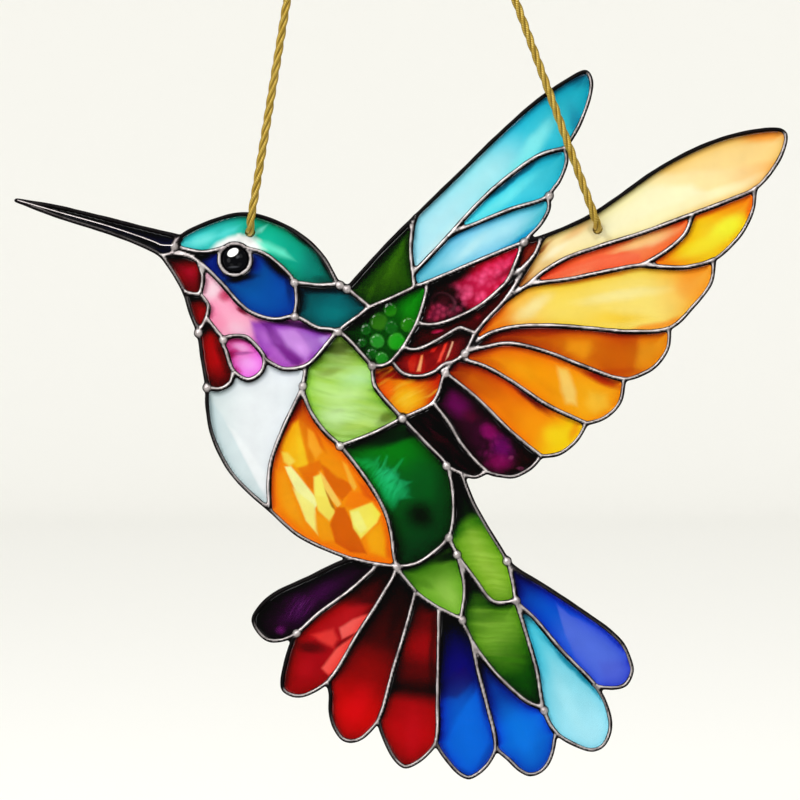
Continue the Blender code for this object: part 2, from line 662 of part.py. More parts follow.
def build():
    """Makes the lattice, the panes, and the cord with its knots and ring."""
    for old in list(bpy.data.objects):
        bpy.data.objects.remove(old, do_unlink=True)
    fields = closed_fields(cut_lines())
    add_object("leading", lattice(fields), material("soldered_came", "#8d8480", 0.35, 1.0))
    for name, (inside, colour) in PANES.items():
        field = next(f for f in fields if area(f) > 0 and holds(f, Vector(inside)))
        outline = pane_outline(field)
        mesh = domed_eye(outline) if name == "eye" else pane(name, outline)
        piece = add_object(name, mesh, material("acrylic_" + name, colour, 0.12))
        if name in HOLES:
            cut(piece, name + "_drill", drill(name + "_drill", HOLES[name]))
    gold = material("gold_cord", "#c9a227", 0.5)
    for side_name, route in CORD_ROUTES.items():
        add_object("cord_" + side_name, cord("cord_" + side_name, route), gold)
        behind = PANE_THICKNESS / 2 + GAP + STOPPER_RADIUS
        hole_x, _, hole_z = route[0]
        name = "stopper_knot_" + side_name
        stopper = ball(name, (hole_x, behind, hole_z), [STOPPER_RADIUS] * 3, STOPPER_FACETS)
        add_object(name, stopper, gold, smooth=True)
    brass = material("gold_ring", "#d9b45a", 0.25, 1.0)
    add_object("hanging_ring", upright_ring("hanging_ring", RING_WIRE_RADIUS), brass, smooth=True)
    knot_mesh = ball("hanging_knot", (0, 0, -KNOT_DROP), KNOT_RADII, KNOT_FACETS)
    knot = add_object("hanging_knot", knot_mesh, gold, smooth=True)
    cut(knot, "ring_channel", upright_ring("ring_channel", RING_WIRE_RADIUS + GAP))


build()
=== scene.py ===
"""Stained-glass style hummingbird suncatcher on a gold twisted cord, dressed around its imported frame.

The bird is a mosaic of coloured cast acrylic panes in a lattice of solder. Everything is placed from the
frame: the lattice's ridge gives the solder's lines, the fields between the lines give the panes, and the
joints where named panes meet get their beads of solder. The bird's plane is XZ, and its front faces -Y.
"""

from __future__ import annotations

import logging
import math
from collections.abc import Callable, Iterator, Sequence
from contextlib import contextmanager
from dataclasses import dataclass, field
from enum import Enum
from functools import partial
from typing import Any, Self

import bpy
import numpy as np
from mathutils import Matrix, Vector
from mathutils.kdtree import KDTree


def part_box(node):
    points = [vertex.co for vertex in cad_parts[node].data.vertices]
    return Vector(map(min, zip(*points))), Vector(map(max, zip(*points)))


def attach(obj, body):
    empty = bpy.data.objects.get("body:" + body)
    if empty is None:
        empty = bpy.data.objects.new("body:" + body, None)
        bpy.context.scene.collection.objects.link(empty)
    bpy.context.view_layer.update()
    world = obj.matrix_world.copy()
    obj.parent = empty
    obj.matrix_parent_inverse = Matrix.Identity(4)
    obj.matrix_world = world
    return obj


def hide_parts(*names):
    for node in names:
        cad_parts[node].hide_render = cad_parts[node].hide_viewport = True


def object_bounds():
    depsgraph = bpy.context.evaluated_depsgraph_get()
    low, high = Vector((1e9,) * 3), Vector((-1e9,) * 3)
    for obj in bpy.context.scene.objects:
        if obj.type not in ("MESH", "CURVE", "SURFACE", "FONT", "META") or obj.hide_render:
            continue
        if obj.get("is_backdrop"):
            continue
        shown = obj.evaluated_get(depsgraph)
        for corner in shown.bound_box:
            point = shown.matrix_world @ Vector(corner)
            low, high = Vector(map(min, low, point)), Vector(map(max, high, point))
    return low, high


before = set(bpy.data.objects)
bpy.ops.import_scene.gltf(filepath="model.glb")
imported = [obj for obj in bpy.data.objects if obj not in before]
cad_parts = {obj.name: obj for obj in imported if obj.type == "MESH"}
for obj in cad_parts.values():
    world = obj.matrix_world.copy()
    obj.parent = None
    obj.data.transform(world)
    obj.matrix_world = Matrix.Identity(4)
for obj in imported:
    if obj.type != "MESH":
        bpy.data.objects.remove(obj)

Piece = bpy.types.Object
Material = bpy.types.Material
Tree = bpy.types.NodeTree
Socket = bpy.types.NodeSocket
Adder = Callable[..., Socket]
Colour = tuple[float, float, float, float]
Share = tuple[float, float]
Shades = tuple[tuple[int, str], ...]

LOG = logging.getLogger("suncatcher")
MM = 0.001
# A pattern's scale is this over its size in millimetres.
METRE = 1000.0
BODY = "root"
OUTSIDE = "outside"
FRONT_ON = math.pi / 2
# Points this close are one point, and an edge sharper than this stays sharp.
SEAM = 0.001 * MM
CREASE = math.radians(50)
# A Mix node's colour inputs go by number, and so does its colour output.
BELOW, ABOVE = 6, 7
MIXED = {"data_type": "RGBA", "out": 2}


# ---- colours, nodes and hands


def linear(colour: str) -> Colour:
    """Turns an sRGB hex colour to linear light.

    Args:
        colour: A colour such as "#c9a227".

    Returns:
        Linear red, green and blue, and an alpha of 1.
    """
    parts = [int(colour[i : i + 2], 16) / 255 for i in (1, 3, 5)]
    red, green, blue = (c / 12.92 if c <= 0.04045 else ((c + 0.055) / 1.055) ** 2.4 for c in parts)
    return red, green, blue, 1.0


def feed(node: bpy.types.Node, inputs: dict[int | str, Any]) -> None:
    """Gives a node's inputs their values.

    Args:
        node: The node.
        inputs: For each input that it names, a value or another node's socket to link from.
    """
    for name, value in inputs.items():
        if isinstance(value, Socket):
            node.id_data.links.new(value, node.inputs[name])
        else:
            node.inputs[name].default_value = value


def add_node(
    tree: Tree, kind: str, inputs: dict[int | str, Any] | None = None, out: int | str = 0, **settings: Any
) -> Socket:
    """Adds one shader node with its settings, its input values and its links.

    Args:
        tree: The node tree it goes in.
        kind: The node's type, without its ShaderNode prefix.
        inputs: What its inputs are fed with.
        out: The output that is wanted.
        settings: The node's own properties.

    Returns:
        The wanted output's socket.
    """
    made = tree.nodes.new("ShaderNode" + kind)
    for name, value in settings.items():
        setattr(made, name, value)
    feed(made, inputs or {})
    return made.outputs[out]


def new_material(name: str) -> tuple[Material, Adder, bpy.types.Node]:
    """Makes a material.

    Args:
        name: Its name.

    Returns:
        The material, what adds a node to it as add_node does, and its shader.
    """
    made = bpy.data.materials.new(name)
    made.use_nodes = True
    return made, partial(add_node, made.node_tree), made.node_tree.nodes["Principled BSDF"]


def select_only(*pieces: Piece) -> None:
    """Selects some pieces and nothing else.

    Args:
        pieces: The pieces, of which the first is made active.
    """
    bpy.ops.object.select_all(action="DESELECT")
    for one in pieces:
        one.select_set(True)
    bpy.context.view_layer.objects.active = pieces[0]


def primitive(kind: str, **settings: Any) -> Piece:
    """Adds a primitive with nothing else selected.

    Args:
        kind: Its name among the mesh operators.
        settings: What the operator is told.

    Returns:
        The primitive.
    """
    bpy.ops.object.select_all(action="DESELECT")
    getattr(bpy.ops.mesh, f"primitive_{kind}_add")(**settings)
    return bpy.context.object


@contextmanager
def editing(piece: Piece, chosen: np.ndarray | None = None) -> Iterator[None]:
    """Opens a piece in edit mode, and closes it afterwards.

    Args:
        piece: The piece.
        chosen: Which of its vertices are selected, or None for all of them.

    Returns:
        What holds it open.
    """
    select_only(piece)
    bpy.ops.object.mode_set(mode="EDIT")
    bpy.ops.mesh.select_all(action="SELECT" if chosen is None else "DESELECT")
    if chosen is not None:
        bpy.ops.object.mode_set(mode="OBJECT")
        piece.data.vertices.foreach_set("select", chosen.tolist())
        bpy.ops.object.mode_set(mode="EDIT")
    try:
        yield
    finally:
        bpy.ops.object.mode_set(mode="OBJECT")


def apply_modifier(piece: Piece, kind: str, **settings: Any) -> None:
    """Adds a modifier to a piece and applies it.

    Args:
        piece: The piece.
        kind: The modifier's type.
        settings: Its own properties.
    """
    select_only(piece)
    modifier = piece.modifiers.new(kind.title(), kind)
    for name, value in settings.items():
        setattr(modifier, name, value)
    bpy.ops.object.modifier_apply(modifier=modifier.name)


def settle(piece: Piece) -> None:
    """Applies a piece's place, turn and scale to its mesh."""
    select_only(piece)
    bpy.ops.object.transform_apply(location=True, rotation=True, scale=True)


def weld(piece: Piece) -> None:
    """Closes a mesh's seams and turns its faces outwards.

    Args:
        piece: The piece with the mesh.
    """
    with editing(piece):
        bpy.ops.mesh.remove_doubles(threshold=SEAM)
        bpy.ops.mesh.normals_make_consistent(inside=False)


def joined(name: str, pieces: Sequence[Piece]) -> Piece:
    """Joins pieces into the first of them.

    Args:
        name: What the joined piece is called.
        pieces: The pieces.

    Returns:
        The joined piece.
    """
    select_only(*pieces)
    bpy.ops.object.join()
    pieces[0].name = pieces[0].data.name = name
    return pieces[0]


def new_object(name: str, data: bpy.types.ID) -> Piece:
    """Puts a mesh, curve, light or camera in the scene.

    Args:
        name: Its name.
        data: What it shows.

    Returns:
        The new object.
    """
    made = bpy.data.objects.new(name, data)
    bpy.context.scene.collection.objects.link(made)
    return made


def drawn(name: str, lines: Sequence[np.ndarray], closed: bool, **settings: Any) -> Piece:
    """Draws lines as one flat curve.

    Args:
        name: The curve's name.
        lines: Each line's points: x and z in millimetres, and its thickness there where that changes.
        closed: Whether a line runs back to its start.
        settings: The curve's own properties.

    Returns:
        The curve, lying on its back.
    """
    curve = bpy.data.curves.new(name, "CURVE")
    curve.dimensions = "2D"
    for key, value in settings.items():
        setattr(curve, key, value)
    for line in lines:
        spline = curve.splines.new("POLY")
        spline.points.add(len(line) - 1)
        for point, (x, z, *thickness) in zip(spline.points, line):
            point.co = (x * MM, z * MM, 0, 1)
            if thickness:
                point.radius = thickness[0]
        spline.use_cyclic_u = closed
    return new_object(name, curve)


def stood_up(curve: Piece) -> Piece:
    """Turns a flat curve to a mesh in the bird's plane.

    Args:
        curve: The curve, lying on its back.

    Returns:
        The same piece, now a mesh.
    """
    curve.rotation_euler = (FRONT_ON, 0, 0)
    select_only(curve)
    bpy.ops.object.convert(target="MESH")
    settle(curve)
    return curve


def dress(piece: Piece, material: Material, crease: float | None = None) -> None:
    """Gives a piece one material all over and shades it smooth.

    Args:
        piece: The piece.
        material: Its material.
        crease: The angle past which an edge stays sharp, or None where none does.
    """
    select_only(piece)
    if crease is None:
        bpy.ops.object.shade_smooth()
    else:
        bpy.ops.object.shade_smooth_by_angle(angle=crease)
    piece.data.materials.clear()
    piece.data.materials.append(material)


def hand_over(piece: Piece, slot: str, *stands_for: str) -> None:
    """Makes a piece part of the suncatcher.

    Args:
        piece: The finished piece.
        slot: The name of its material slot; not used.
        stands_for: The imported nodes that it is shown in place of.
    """
    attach(piece, BODY)
    if stands_for:
        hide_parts(*stands_for)
    LOG.info("%s: %d vertices", piece.name, len(piece.data.vertices))


def write_attribute(piece: Piece, name: str, values: np.ndarray) -> None:
    """Stores one number for each vertex of a piece."""
    layer = piece.data.attributes.new(name, "FLOAT", "POINT")
    layer.data.foreach_set("value", values.astype(np.float32))


def vertices_of(piece: Piece, of: str = "co") -> np.ndarray:
    """Reads a mesh's vertices.

    Args:
        piece: The piece.
        of: "co" for their places, "normal" for their normals.

    Returns:
        A row of three numbers for each.
    """
    found = np.empty(len(piece.data.vertices) * 3, np.float32)
    piece.data.vertices.foreach_get(of, found)
    return found.reshape(-1, 3).astype(float)


@dataclass(frozen=True)
class Box:
    """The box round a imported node, in metres."""

    low: Vector
    high: Vector

    @classmethod
    def of(cls, node: str) -> Box:
        """The box of the node with this name."""
        return cls(*(Vector(corner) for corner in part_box(node)))

    @property
    def middle(self) -> Vector:
        """Its middle."""
        return (self.low + self.high) / 2

    @property
    def reach(self) -> Vector:
        """Half its size each way."""
        return (self.high - self.low) / 2

    def at(self, share: Share) -> Vector:
        """The point at these hundredths of the box, from its left and from its foot, in the bird's plane."""
        size, (across, up) = self.high - self.low, share
        return Vector((self.low.x + across / 100 * size.x, 0, self.low.z + up / 100 * size.z))


# ---- smooth lines


def smooth_step(values: np.ndarray, low: float, high: float) -> np.ndarray:
    """Gives 0 below low, 1 above high, and an even curve between."""
    share = np.clip((values - low) / (high - low), 0, 1)
    return share * share * (3 - 2 * share)


def travelled(points: np.ndarray) -> np.ndarray:
    """How far along a line each of its points is."""
    return np.concatenate([[0], np.cumsum(np.linalg.norm(np.diff(points, axis=0), axis=1))])


def headings(points: np.ndarray) -> np.ndarray:
    """The way that a line runs at each of its points, one long."""
    along = np.gradient(points, axis=0)
    return along / np.linalg.norm(along, axis=1)[:, None]


def left_of(along: np.ndarray) -> np.ndarray:
    """The ways to the left of these ways in the bird's plane."""
    return np.stack([-along[..., 1], along[..., 0]], axis=-1)


def tree_of(points: np.ndarray) -> KDTree:
    """Makes a tree that finds the nearest of some points in the bird's plane.

    Args:
        points: Their x and z, one a row.

    Returns:
        The tree, with each point's row as its number.
    """
    tree = KDTree(len(points))
    for number, (x, z) in enumerate(points):
        tree.insert((x, z, 0), number)
    tree.balance()
    return tree


def smooth_line(
    points: np.ndarray, step: float, before: np.ndarray | None = None, after: np.ndarray | None = None
) -> np.ndarray:
    """A centripetal Catmull-Rom curve through points.

    Args:
        points: The points it runs through, one a row.
        step: About how far apart its own points are.
        before: The point that it would come from, or None for straight on.
        after: The point that it would go on to, or None for straight on.

    Returns:
        The curve's points, with both of its ends.
    """
    before = 2 * points[0] - points[1] if before is None else before
    after = 2 * points[-1] - points[-2] if after is None else after
    corners = np.vstack([before, points, after])
    made = [points[:1]]
    for i in range(1, len(corners) - 2):
        p = corners[i - 1 : i + 3]
        knots = np.concatenate([[0.0], np.cumsum(np.sqrt(np.linalg.norm(np.diff(p, axis=0), axis=1)))])
        count = max(2, math.ceil(np.linalg.norm(p[2] - p[1]) / step))
        t = np.linspace(knots[1], knots[2], count + 1)[1:, None]

        def mixed(a: np.ndarray, b: np.ndarray, start: float, end: float, t: np.ndarray = t) -> np.ndarray:
            """The points at t on the line that is at a at start and at b at end."""
            return a + (b - a) * ((t - start) / (end - start))

        first = [mixed(p[j], p[j + 1], knots[j], knots[j + 1]) for j in range(3)]
        second = [mixed(first[j], first[j + 1], knots[j], knots[j + 2]) for j in range(2)]
        made.append(mixed(second[0], second[1], knots[1], knots[2]))
    return np.vstack(made)


def signed_area(loop: np.ndarray) -> float:
    """The area inside a closed line, positive when it runs anticlockwise."""
    onward = np.roll(loop, -1, axis=0)
    return float((loop[:, 0] * onward[:, 1] - loop[:, 1] * onward[:, 0]).sum() / 2)


def crossings(loop: np.ndarray, place: float, axis: int) -> np.ndarray:
    """Where a closed line crosses a straight one.

    Args:
        loop: The closed line.
        place: Where the straight line lies.
        axis: 0 for an upright line at this x, 1 for a level one at this z.

    Returns:
        The other coordinate of each crossing.
    """
    onward = np.roll(loop, -1, axis=0)
    spans = (loop[:, axis] > place) != (onward[:, axis] > place)
    a, b = loop[spans], onward[spans]
    other = 1 - axis
    return a[:, other] + (b[:, other] - a[:, other]) * (place - a[:, axis]) / (b[:, axis] - a[:, axis])


def encloses(loop: np.ndarray, point: np.ndarray) -> bool:
    """Whether a closed line goes round a point."""
    return bool((crossings(loop, point[1], 1) > point[0]).sum() % 2)


@dataclass
class SolderLine:
    """One line of the lattice between two joints.

    Attributes:
        joints: The joints at its two ends.
        corners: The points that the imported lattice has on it, in millimetres, x and z.
        points: The same line, smooth and with close points.
        outer: Whether it is a stretch of the bird's outline.
    """

    joints: tuple[int, int]
    corners: np.ndarray
    points: np.ndarray = field(default_factory=lambda: np.empty((0, 2)))
    outer: bool = False


class LineNet:
    """The lattice's centre lines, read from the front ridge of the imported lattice.

    Attributes:
        places: The place of every point of the ridge, in millimetres, x and z.
        lines: Every line between two joints.
        fields: For each pane's name, the closed smooth line round it, anticlockwise.
        met: For each joint, the names of the panes that meet there.
    """

    RIDGE_DEPTH = 0.01
    SHARP_TURN = math.radians(50)
    FLOWING_TURN = math.radians(38)
    STEP = 0.45

    def __init__(self, node: str, panes: Sequence[str]) -> None:
        """Reads the ridge and works out the lines, the fields and the joints.

        Args:
            node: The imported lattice's name.
            panes: The names of the panes that fill its fields.
        """
        self.lines: list[SolderLine] = []
        self.fields: dict[str, np.ndarray] = {}
        self.met: dict[int, frozenset[str]] = {}
        self.places, edges = self._ridge(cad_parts[node])
        self._trace(edges)
        self._smooth()
        self._find_fields(panes)
        LOG.info("%s: %d lines, %d fields", node, len(self.lines), len(self.fields))

    def _ridge(self, lattice: Piece) -> tuple[np.ndarray, set[tuple[int, int]]]:
        """Finds the ridge along the lattice's front.

        Args:
            lattice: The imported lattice.

        Returns:
            The places of its points, in millimetres, and the edges between them.
        """
        corners = vertices_of(lattice) / MM
        triangles = np.array([list(face.vertices) for face in lattice.data.polygons])
        places, index = np.unique(np.round(corners, 4), axis=0, return_inverse=True)
        index = index.reshape(-1)[triangles]
        on_ridge = places[:, 1] < places[:, 1].min() + self.RIDGE_DEPTH
        edges = set()
        for a, b in ((0, 1), (1, 2), (2, 0)):
            pairs = index[:, [a, b]]
            kept = pairs[on_ridge[pairs].all(axis=1) & (pairs[:, 0] != pairs[:, 1])]
            edges |= {tuple(sorted(pair)) for pair in kept.tolist()}
        return places[:, [0, 2]], edges

    def _trace(self, edges: set[tuple[int, int]]) -> None:
        """Joins the ridge's edges into lines that end at joints and at sharp corners.

        Args:
            edges: The ridge's edges, as pairs of its points' numbers.
        """
        around: dict[int, list[int]] = {}
        for a, b in sorted(edges):
            around.setdefault(a, []).append(b)
            around.setdefault(b, []).append(a)
        joints = {here for here, ways in around.items() if len(ways) != 2 or self._is_sharp(here, ways)}
        walked: set[tuple[int, int]] = set()
        for joint in sorted(joints):
            for way in around[joint]:
                if (joint, way) in walked:
                    continue
                path = [joint, way]
                while path[-1] not in joints:
                    last, here = path[-2:]
                    path.append(next(other for other in around[here] if other != last))
                walked |= {(path[0], path[1]), (path[-1], path[-2])}
                self.lines.append(SolderLine((path[0], path[-1]), self.places[path]))

    def _is_sharp(self, here: int, ways: list[int]) -> bool:
        """Whether the two edges that meet at a point make a corner there."""
        before, point, after = (self.places[number] for number in (ways[0], here, ways[1]))
        return abs(self._turn(point - before, after - point)) > self.SHARP_TURN

    @staticmethod
    def _turn(arriving: np.ndarray, leaving: np.ndarray) -> float:
        """The angle from one direction to the next, positive anticlockwise."""
        cross = arriving[0] * leaving[1] - arriving[1] * leaving[0]
        return math.atan2(cross, float(arriving @ leaving))

    def _smooth(self) -> None:
        """Runs a smooth curve along each line, which flows on into the straightest line past each joint."""
        ends = [(line.joints[0], line.corners) for line in self.lines]
        ends += [(line.joints[1], line.corners[::-1]) for line in self.lines]
        for number, line in enumerate(self.lines):
            beyond = []
            for joint, inward in ((line.joints[0], line.corners), (line.joints[1], line.corners[::-1])):
                arriving = inward[0] - inward[1]
                ways = [
                    (abs(self._turn(arriving, other[1] - other[0])), order)
                    for order, (place, other) in enumerate(ends)
                    if place == joint and order % len(self.lines) != number
                ]
                turn, order = min(ways, default=(math.pi, -1))
                beyond.append(ends[order][1][1] if turn < self.FLOWING_TURN else None)
            line.points = smooth_line(line.corners, self.STEP, *beyond)

    def _find_fields(self, panes: Sequence[str]) -> None:
        """Walks round every field, names it after the pane inside it, and notes which panes meet where.

        Args:
            panes: The names of the panes that fill the fields.
        """
        halves = []
        for line in self.lines:
            halves.append((line.joints[0], line.corners, line.points))
            halves.append((line.joints[1], line.corners[::-1], line.points[::-1]))
        leaving: dict[int, list[tuple[float, int]]] = {}
        for number, (start, corners, _) in enumerate(halves):
            heading = corners[1] - corners[0]
            leaving.setdefault(start, []).append((math.atan2(heading[1], heading[0]), number))
        following = {}
        for ways in leaving.values():
            ways.sort()
            for place, (_, number) in enumerate(ways):
                following[number ^ 1] = ways[place - 1][1]
        left = set(following)
        touching: dict[int, set[str]] = {}
        inside = {name: self._inner_point(name) for name in panes}
        while left:
            number = min(left)
            loop, used = [], []
            while number in left:
                left.remove(number)
                used.append(number)
                loop.append(halves[number][2][:-1])
                number = following[number]
            around = np.vstack(loop)
            name = OUTSIDE
            if signed_area(around) > 0:
                name = next(pane for pane, point in inside.items() if encloses(around, point))
                self.fields[name] = around
            for number in used:
                touching.setdefault(halves[number][0], set()).add(name)
                if name == OUTSIDE:
                    self.lines[number // 2].outer = True
        self.met = {joint: frozenset(touching[joint]) for joint in sorted(touching)}

    @staticmethod
    def _inner_point(pane: str) -> np.ndarray:
        """A point inside a pane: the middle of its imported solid's largest triangle, in millimetres."""
        largest = max(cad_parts[pane].data.polygons, key=lambda face: face.area * abs(face.normal.y))
        return np.array([largest.center.x, largest.center.z]) / MM

    def runs_along(self, line: SolderLine, pane: str) -> bool:
        """Whether both ends of a line are joints of this pane."""
        return all(pane in self.met[joint] for joint in line.joints)

    def joint_of(self, *names: str) -> np.ndarray:
        """The place of the joint where exactly these panes, and OUTSIDE on the outline, meet."""
        return next(self.places[joint] for joint, met in self.met.items() if met == frozenset(names))


# ---- the solder lattice


@dataclass(frozen=True)
class TinLeadSolder:
    """Tin-lead solder blackened with a copper sulphate patina and rubbed bright along its crown.

    The eye sees near-black flanks and a soft silver line with a warm pink cast, broken up a little where
    the rubbing missed, because solder is laid and smoothed by hand. The silver line also carries a painted
    highlight: it lies towards the side of each line that faces up and to the left.
    """

    patina: str = "#130d0f"
    bright: str = "#f0e6e4"
    dull: str = "#b0a3a3"
    blotch_mm: float = 3.0
    grain_mm: float = 0.5

    def material(self) -> Material:
        """Makes the material, which reads the vertex attribute for rubbed silver with its painted highlight.

        Returns:
            The material.
        """
        made, add, shader = new_material("tin_lead_solder")
        place = add("TexCoord", out="Object")
        # This attribute holds the rubbed crown and a painted highlight towards the upper left.
        rubbed = add("Attribute", out="Fac", attribute_name="rubbed")
        blotch = add("TexNoise", {"Vector": place, "Scale": METRE / self.blotch_mm, "Detail": 3.0})
        worn = add("MapRange", {"Value": blotch, "From Min": 0.3, "From Max": 0.52})
        silver = add("Mix", {0: worn, BELOW: linear(self.dull), ABOVE: linear(self.bright)}, **MIXED)
        colour = add("Mix", {0: rubbed, BELOW: linear(self.patina), ABOVE: silver}, **MIXED)
        rough = add("MapRange", {"Value": rubbed, "To Min": 0.5, "To Max": 0.36})
        grain = add("TexNoise", {"Vector": place, "Scale": METRE / self.grain_mm, "Detail": 2.0})
        bump = add("Bump", {"Height": grain, "Strength": 0.15, "Distance": 0.05 * MM})
        feed(shader, {"Base Color": colour, "Roughness": rough, "Normal": bump, "Metallic": 0.7})
        return made


@dataclass
class Leading:
    """The lattice of solder lines with its round beads, in one piece.

    Attributes:
        net: The lattice's lines.
        half_width: Half the width of a line of solder between two panes, in millimetres.
        outline_half_width: Half the width of the line round the bird.
        crown: How far its crown stands from the bird's mid-plane, front and back.
        bead_radius: The radius of a common bead where lines meet.
        bead_crown: How far a bead stands from the mid-plane.
        voxel: The size of the grid that the lines and beads are fused on.
        most_triangles: How many triangles are kept of that.
    """

    net: LineNet
    half_width: float = 0.7
    outline_half_width: float = 0.54
    crown: float = 1.78
    bead_radius: float = 1.35
    bead_crown: float = 2.3
    voxel: float = 0.36
    most_triangles: int = 190_000

    # Solder flows: each swell is a share of a line's width, over this many millimetres.
    FLOW_SEED = 7
    SWELLS = ((0.05, 2.6), (0.03, 0.9))
    CROWN_STEPS = 6
    BROW_GAIN = 1.45
    BROW = {frozenset(("beak", "crown", OUTSIDE)), frozenset(("beak", "crown", "cheek"))}
    # The rubbed silver and its painted highlight: where it begins and where it is whole, how far it leans off
    # the crown, how bright it is.
    CROWN_RUBBED = (0.88, 0.975)
    BEAD_RUBBED = (0.55, 0.85)
    OUTLINE_HIGHLIGHT = (-0.55, 0.45)
    OUTLINE_LEAN = 0.45
    INNER_LEAN = 0.4
    OUTLINE_SHINE = 0.9
    BILL_SHINE = 0.15
    # Painted highlight, as if lit from above and to the left: an outline's silver is brightest where its
    # inner side looks up and to the left, and an inner line's silver leans to its upper side.
    PAINTED_LIGHT_FROM = np.array([-0.55, 0.83])
    PAINTED_HIGHLIGHT_SIDE = np.array([-0.35, 0.94])

    LARGE_GAIN = 1.25
    LARGE_BEAD = ("mantle", "rump", "small_orange", "aubergine")
    BEADS = (
        ("beak", "crown", "cheek"), ("crown", "cheek", "nape"), ("cheek", "nape", "blush"),
        ("crown", "nape", OUTSIDE), ("nape", "wing_base", OUTSIDE), ("nape", "blush", "mantle", "scapular"),
        ("throat_middle", "throat_lower", OUTSIDE), ("throat_lower", "breast", OUTSIDE),
        ("throat_lower", "blush", "throat_spot"), ("breast", "mantle", "belly"), ("mantle", "belly", "rump"),
        LARGE_BEAD, ("belly", "rump", "covert_short", "tail_2", "tail_3"),
        ("mantle", "scapular", "small_orange"), ("small_orange", "rust", "plum"),
        ("golden", "amber", "orange", "red_streak"), ("back_primary_3", "magenta", "red_sliver", OUTSIDE),
        ("back_primary_2", "back_primary_3", OUTSIDE), ("rump", "aubergine", "covert_long"),
        ("rump", "covert_long", "covert_short"), ("covert_long", "covert_short", "covert_point"),
        ("covert_long", "tail_8", OUTSIDE), ("covert_long", "covert_point", "tail_7", "tail_8"),
        ("covert_short", "covert_point", "tail_5"), ("covert_point", "tail_6", "tail_7"),
        ("tail_1", "tail_2", OUTSIDE),
    )

    def build(self) -> None:
        """Sweeps the lines, sets the beads, fuses them, rubs the crown bright and paints a highlight on it.
        """
        inner = self._swept_lines([line for line in self.net.lines if not line.outer], self.half_width)
        outline = self._swept_lines([line for line in self.net.lines if line.outer], self.outline_half_width)
        lattice = joined("soldered_leading", [inner, outline, *(self._bead(names) for names in self.BEADS)])
        apply_modifier(lattice, "REMESH", mode="VOXEL", voxel_size=self.voxel * MM, adaptivity=0.0)
        apply_modifier(lattice, "SMOOTH", factor=0.5, iterations=4)
        triangles = 2 * len(lattice.data.polygons)
        apply_modifier(lattice, "DECIMATE", ratio=self.most_triangles / triangles)
        LOG.info("leading: thinned out from %d triangles", triangles)
        # Rubbed silver, with a painted highlight towards the upper left.
        write_attribute(lattice, "rubbed", self._rubbed_and_highlit(lattice))
        dress(lattice, TinLeadSolder().material())
        hand_over(lattice, "soldered_came", "leading")

    def _section(self, half_width: float) -> np.ndarray:
        """Makes the section of a line of solder: two flat flanks with a round crown on each side.

        Args:
            half_width: Half the line's width, in millimetres.

        Returns:
            The points round it, in millimetres.
        """
        angles = math.pi * np.arange(self.CROWN_STEPS + 1) / self.CROWN_STEPS
        flank = self.crown - half_width
        front = np.column_stack([half_width * np.cos(angles), flank + half_width * np.sin(angles)])
        return np.vstack([front, -front])

    def _swept_lines(self, swept: Sequence[SolderLine], half_width: float) -> Piece:
        """Sweeps the section along some lines, a little wider and narrower as solder flows.

        Args:
            swept: The lines.
            half_width: Half their width, in millimetres.

        Returns:
            One piece with them all.
        """
        flow = np.random.default_rng(self.FLOW_SEED)
        lines = []
        for line in swept:
            far = travelled(line.points)
            width = np.ones(len(far))
            for (height, length), wave in zip(self.SWELLS, flow.uniform(0, 2 * math.pi, len(self.SWELLS))):
                width += height * np.sin(far / length + wave)
            if {self.net.met[joint] for joint in line.joints} == self.BROW:
                width *= self.BROW_GAIN
            lines.append(np.column_stack([line.points, width]))
        section = drawn("solder_section", [self._section(half_width)], closed=True)
        curve = drawn(
            "solder_lines", lines, closed=False, bevel_mode="OBJECT", bevel_object=section, use_fill_caps=True
        )
        made = stood_up(curve)
        bpy.data.objects.remove(section)
        return made

    def _bead(self, names: tuple[str, ...]) -> Piece:
        """Sets one round bead of solder.

        Args:
            names: The panes that meet at its joint.

        Returns:
            The bead.
        """
        x, z = self.net.joint_of(*names) * MM
        bead = primitive("uv_sphere", segments=20, ring_count=12, radius=MM, location=(x, 0, z))
        size = self.bead_radius * (self.LARGE_GAIN if names == self.LARGE_BEAD else 1)
        bead.scale = (size, self.bead_crown, size)
        settle(bead)
        return bead

    def _rubbed_and_highlit(self, lattice: Piece) -> np.ndarray:
        """Paints the rubbed crown bright, leaned up and to the left as a painted highlight, and on the
        outline its inner shoulder where that faces up and to the left, which is painted highlight too.

        Args:
            lattice: The fused lattice.

        Returns:
            How bright the solder is at each vertex.
        """
        places, normals = vertices_of(lattice) / MM, vertices_of(lattice, "normal")
        tree, leans, shares = self._line_samples()
        nearest = [tree.find((x, z, 0))[1] for x, _, z in places]
        lean = leans[nearest]
        facing = np.stack([lean[:, 0], np.sign(places[:, 1]), lean[:, 1]], axis=1)
        facing /= np.linalg.norm(facing, axis=1)[:, None]
        rubbed = smooth_step((normals * facing).sum(axis=1), *self.CROWN_RUBBED) * shares[nearest]
        for names in self.BEADS:
            reach = np.hypot(*(places[:, [0, 2]] - self.net.joint_of(*names)).T) / self.bead_radius
            rubbed = np.maximum(rubbed, 1 - smooth_step(reach, *self.BEAD_RUBBED))
        return rubbed

    def _line_samples(self) -> tuple[KDTree, np.ndarray, np.ndarray]:
        """Takes points along every line.

        Returns:
            A tree of the points, the way that each one's bright ridge leans towards the painted light, and
            how bright it is.
        """
        places, leans, shares = [], [], []
        for line in self.net.lines:
            inward = left_of(headings(line.points))
            share = np.ones(len(inward))
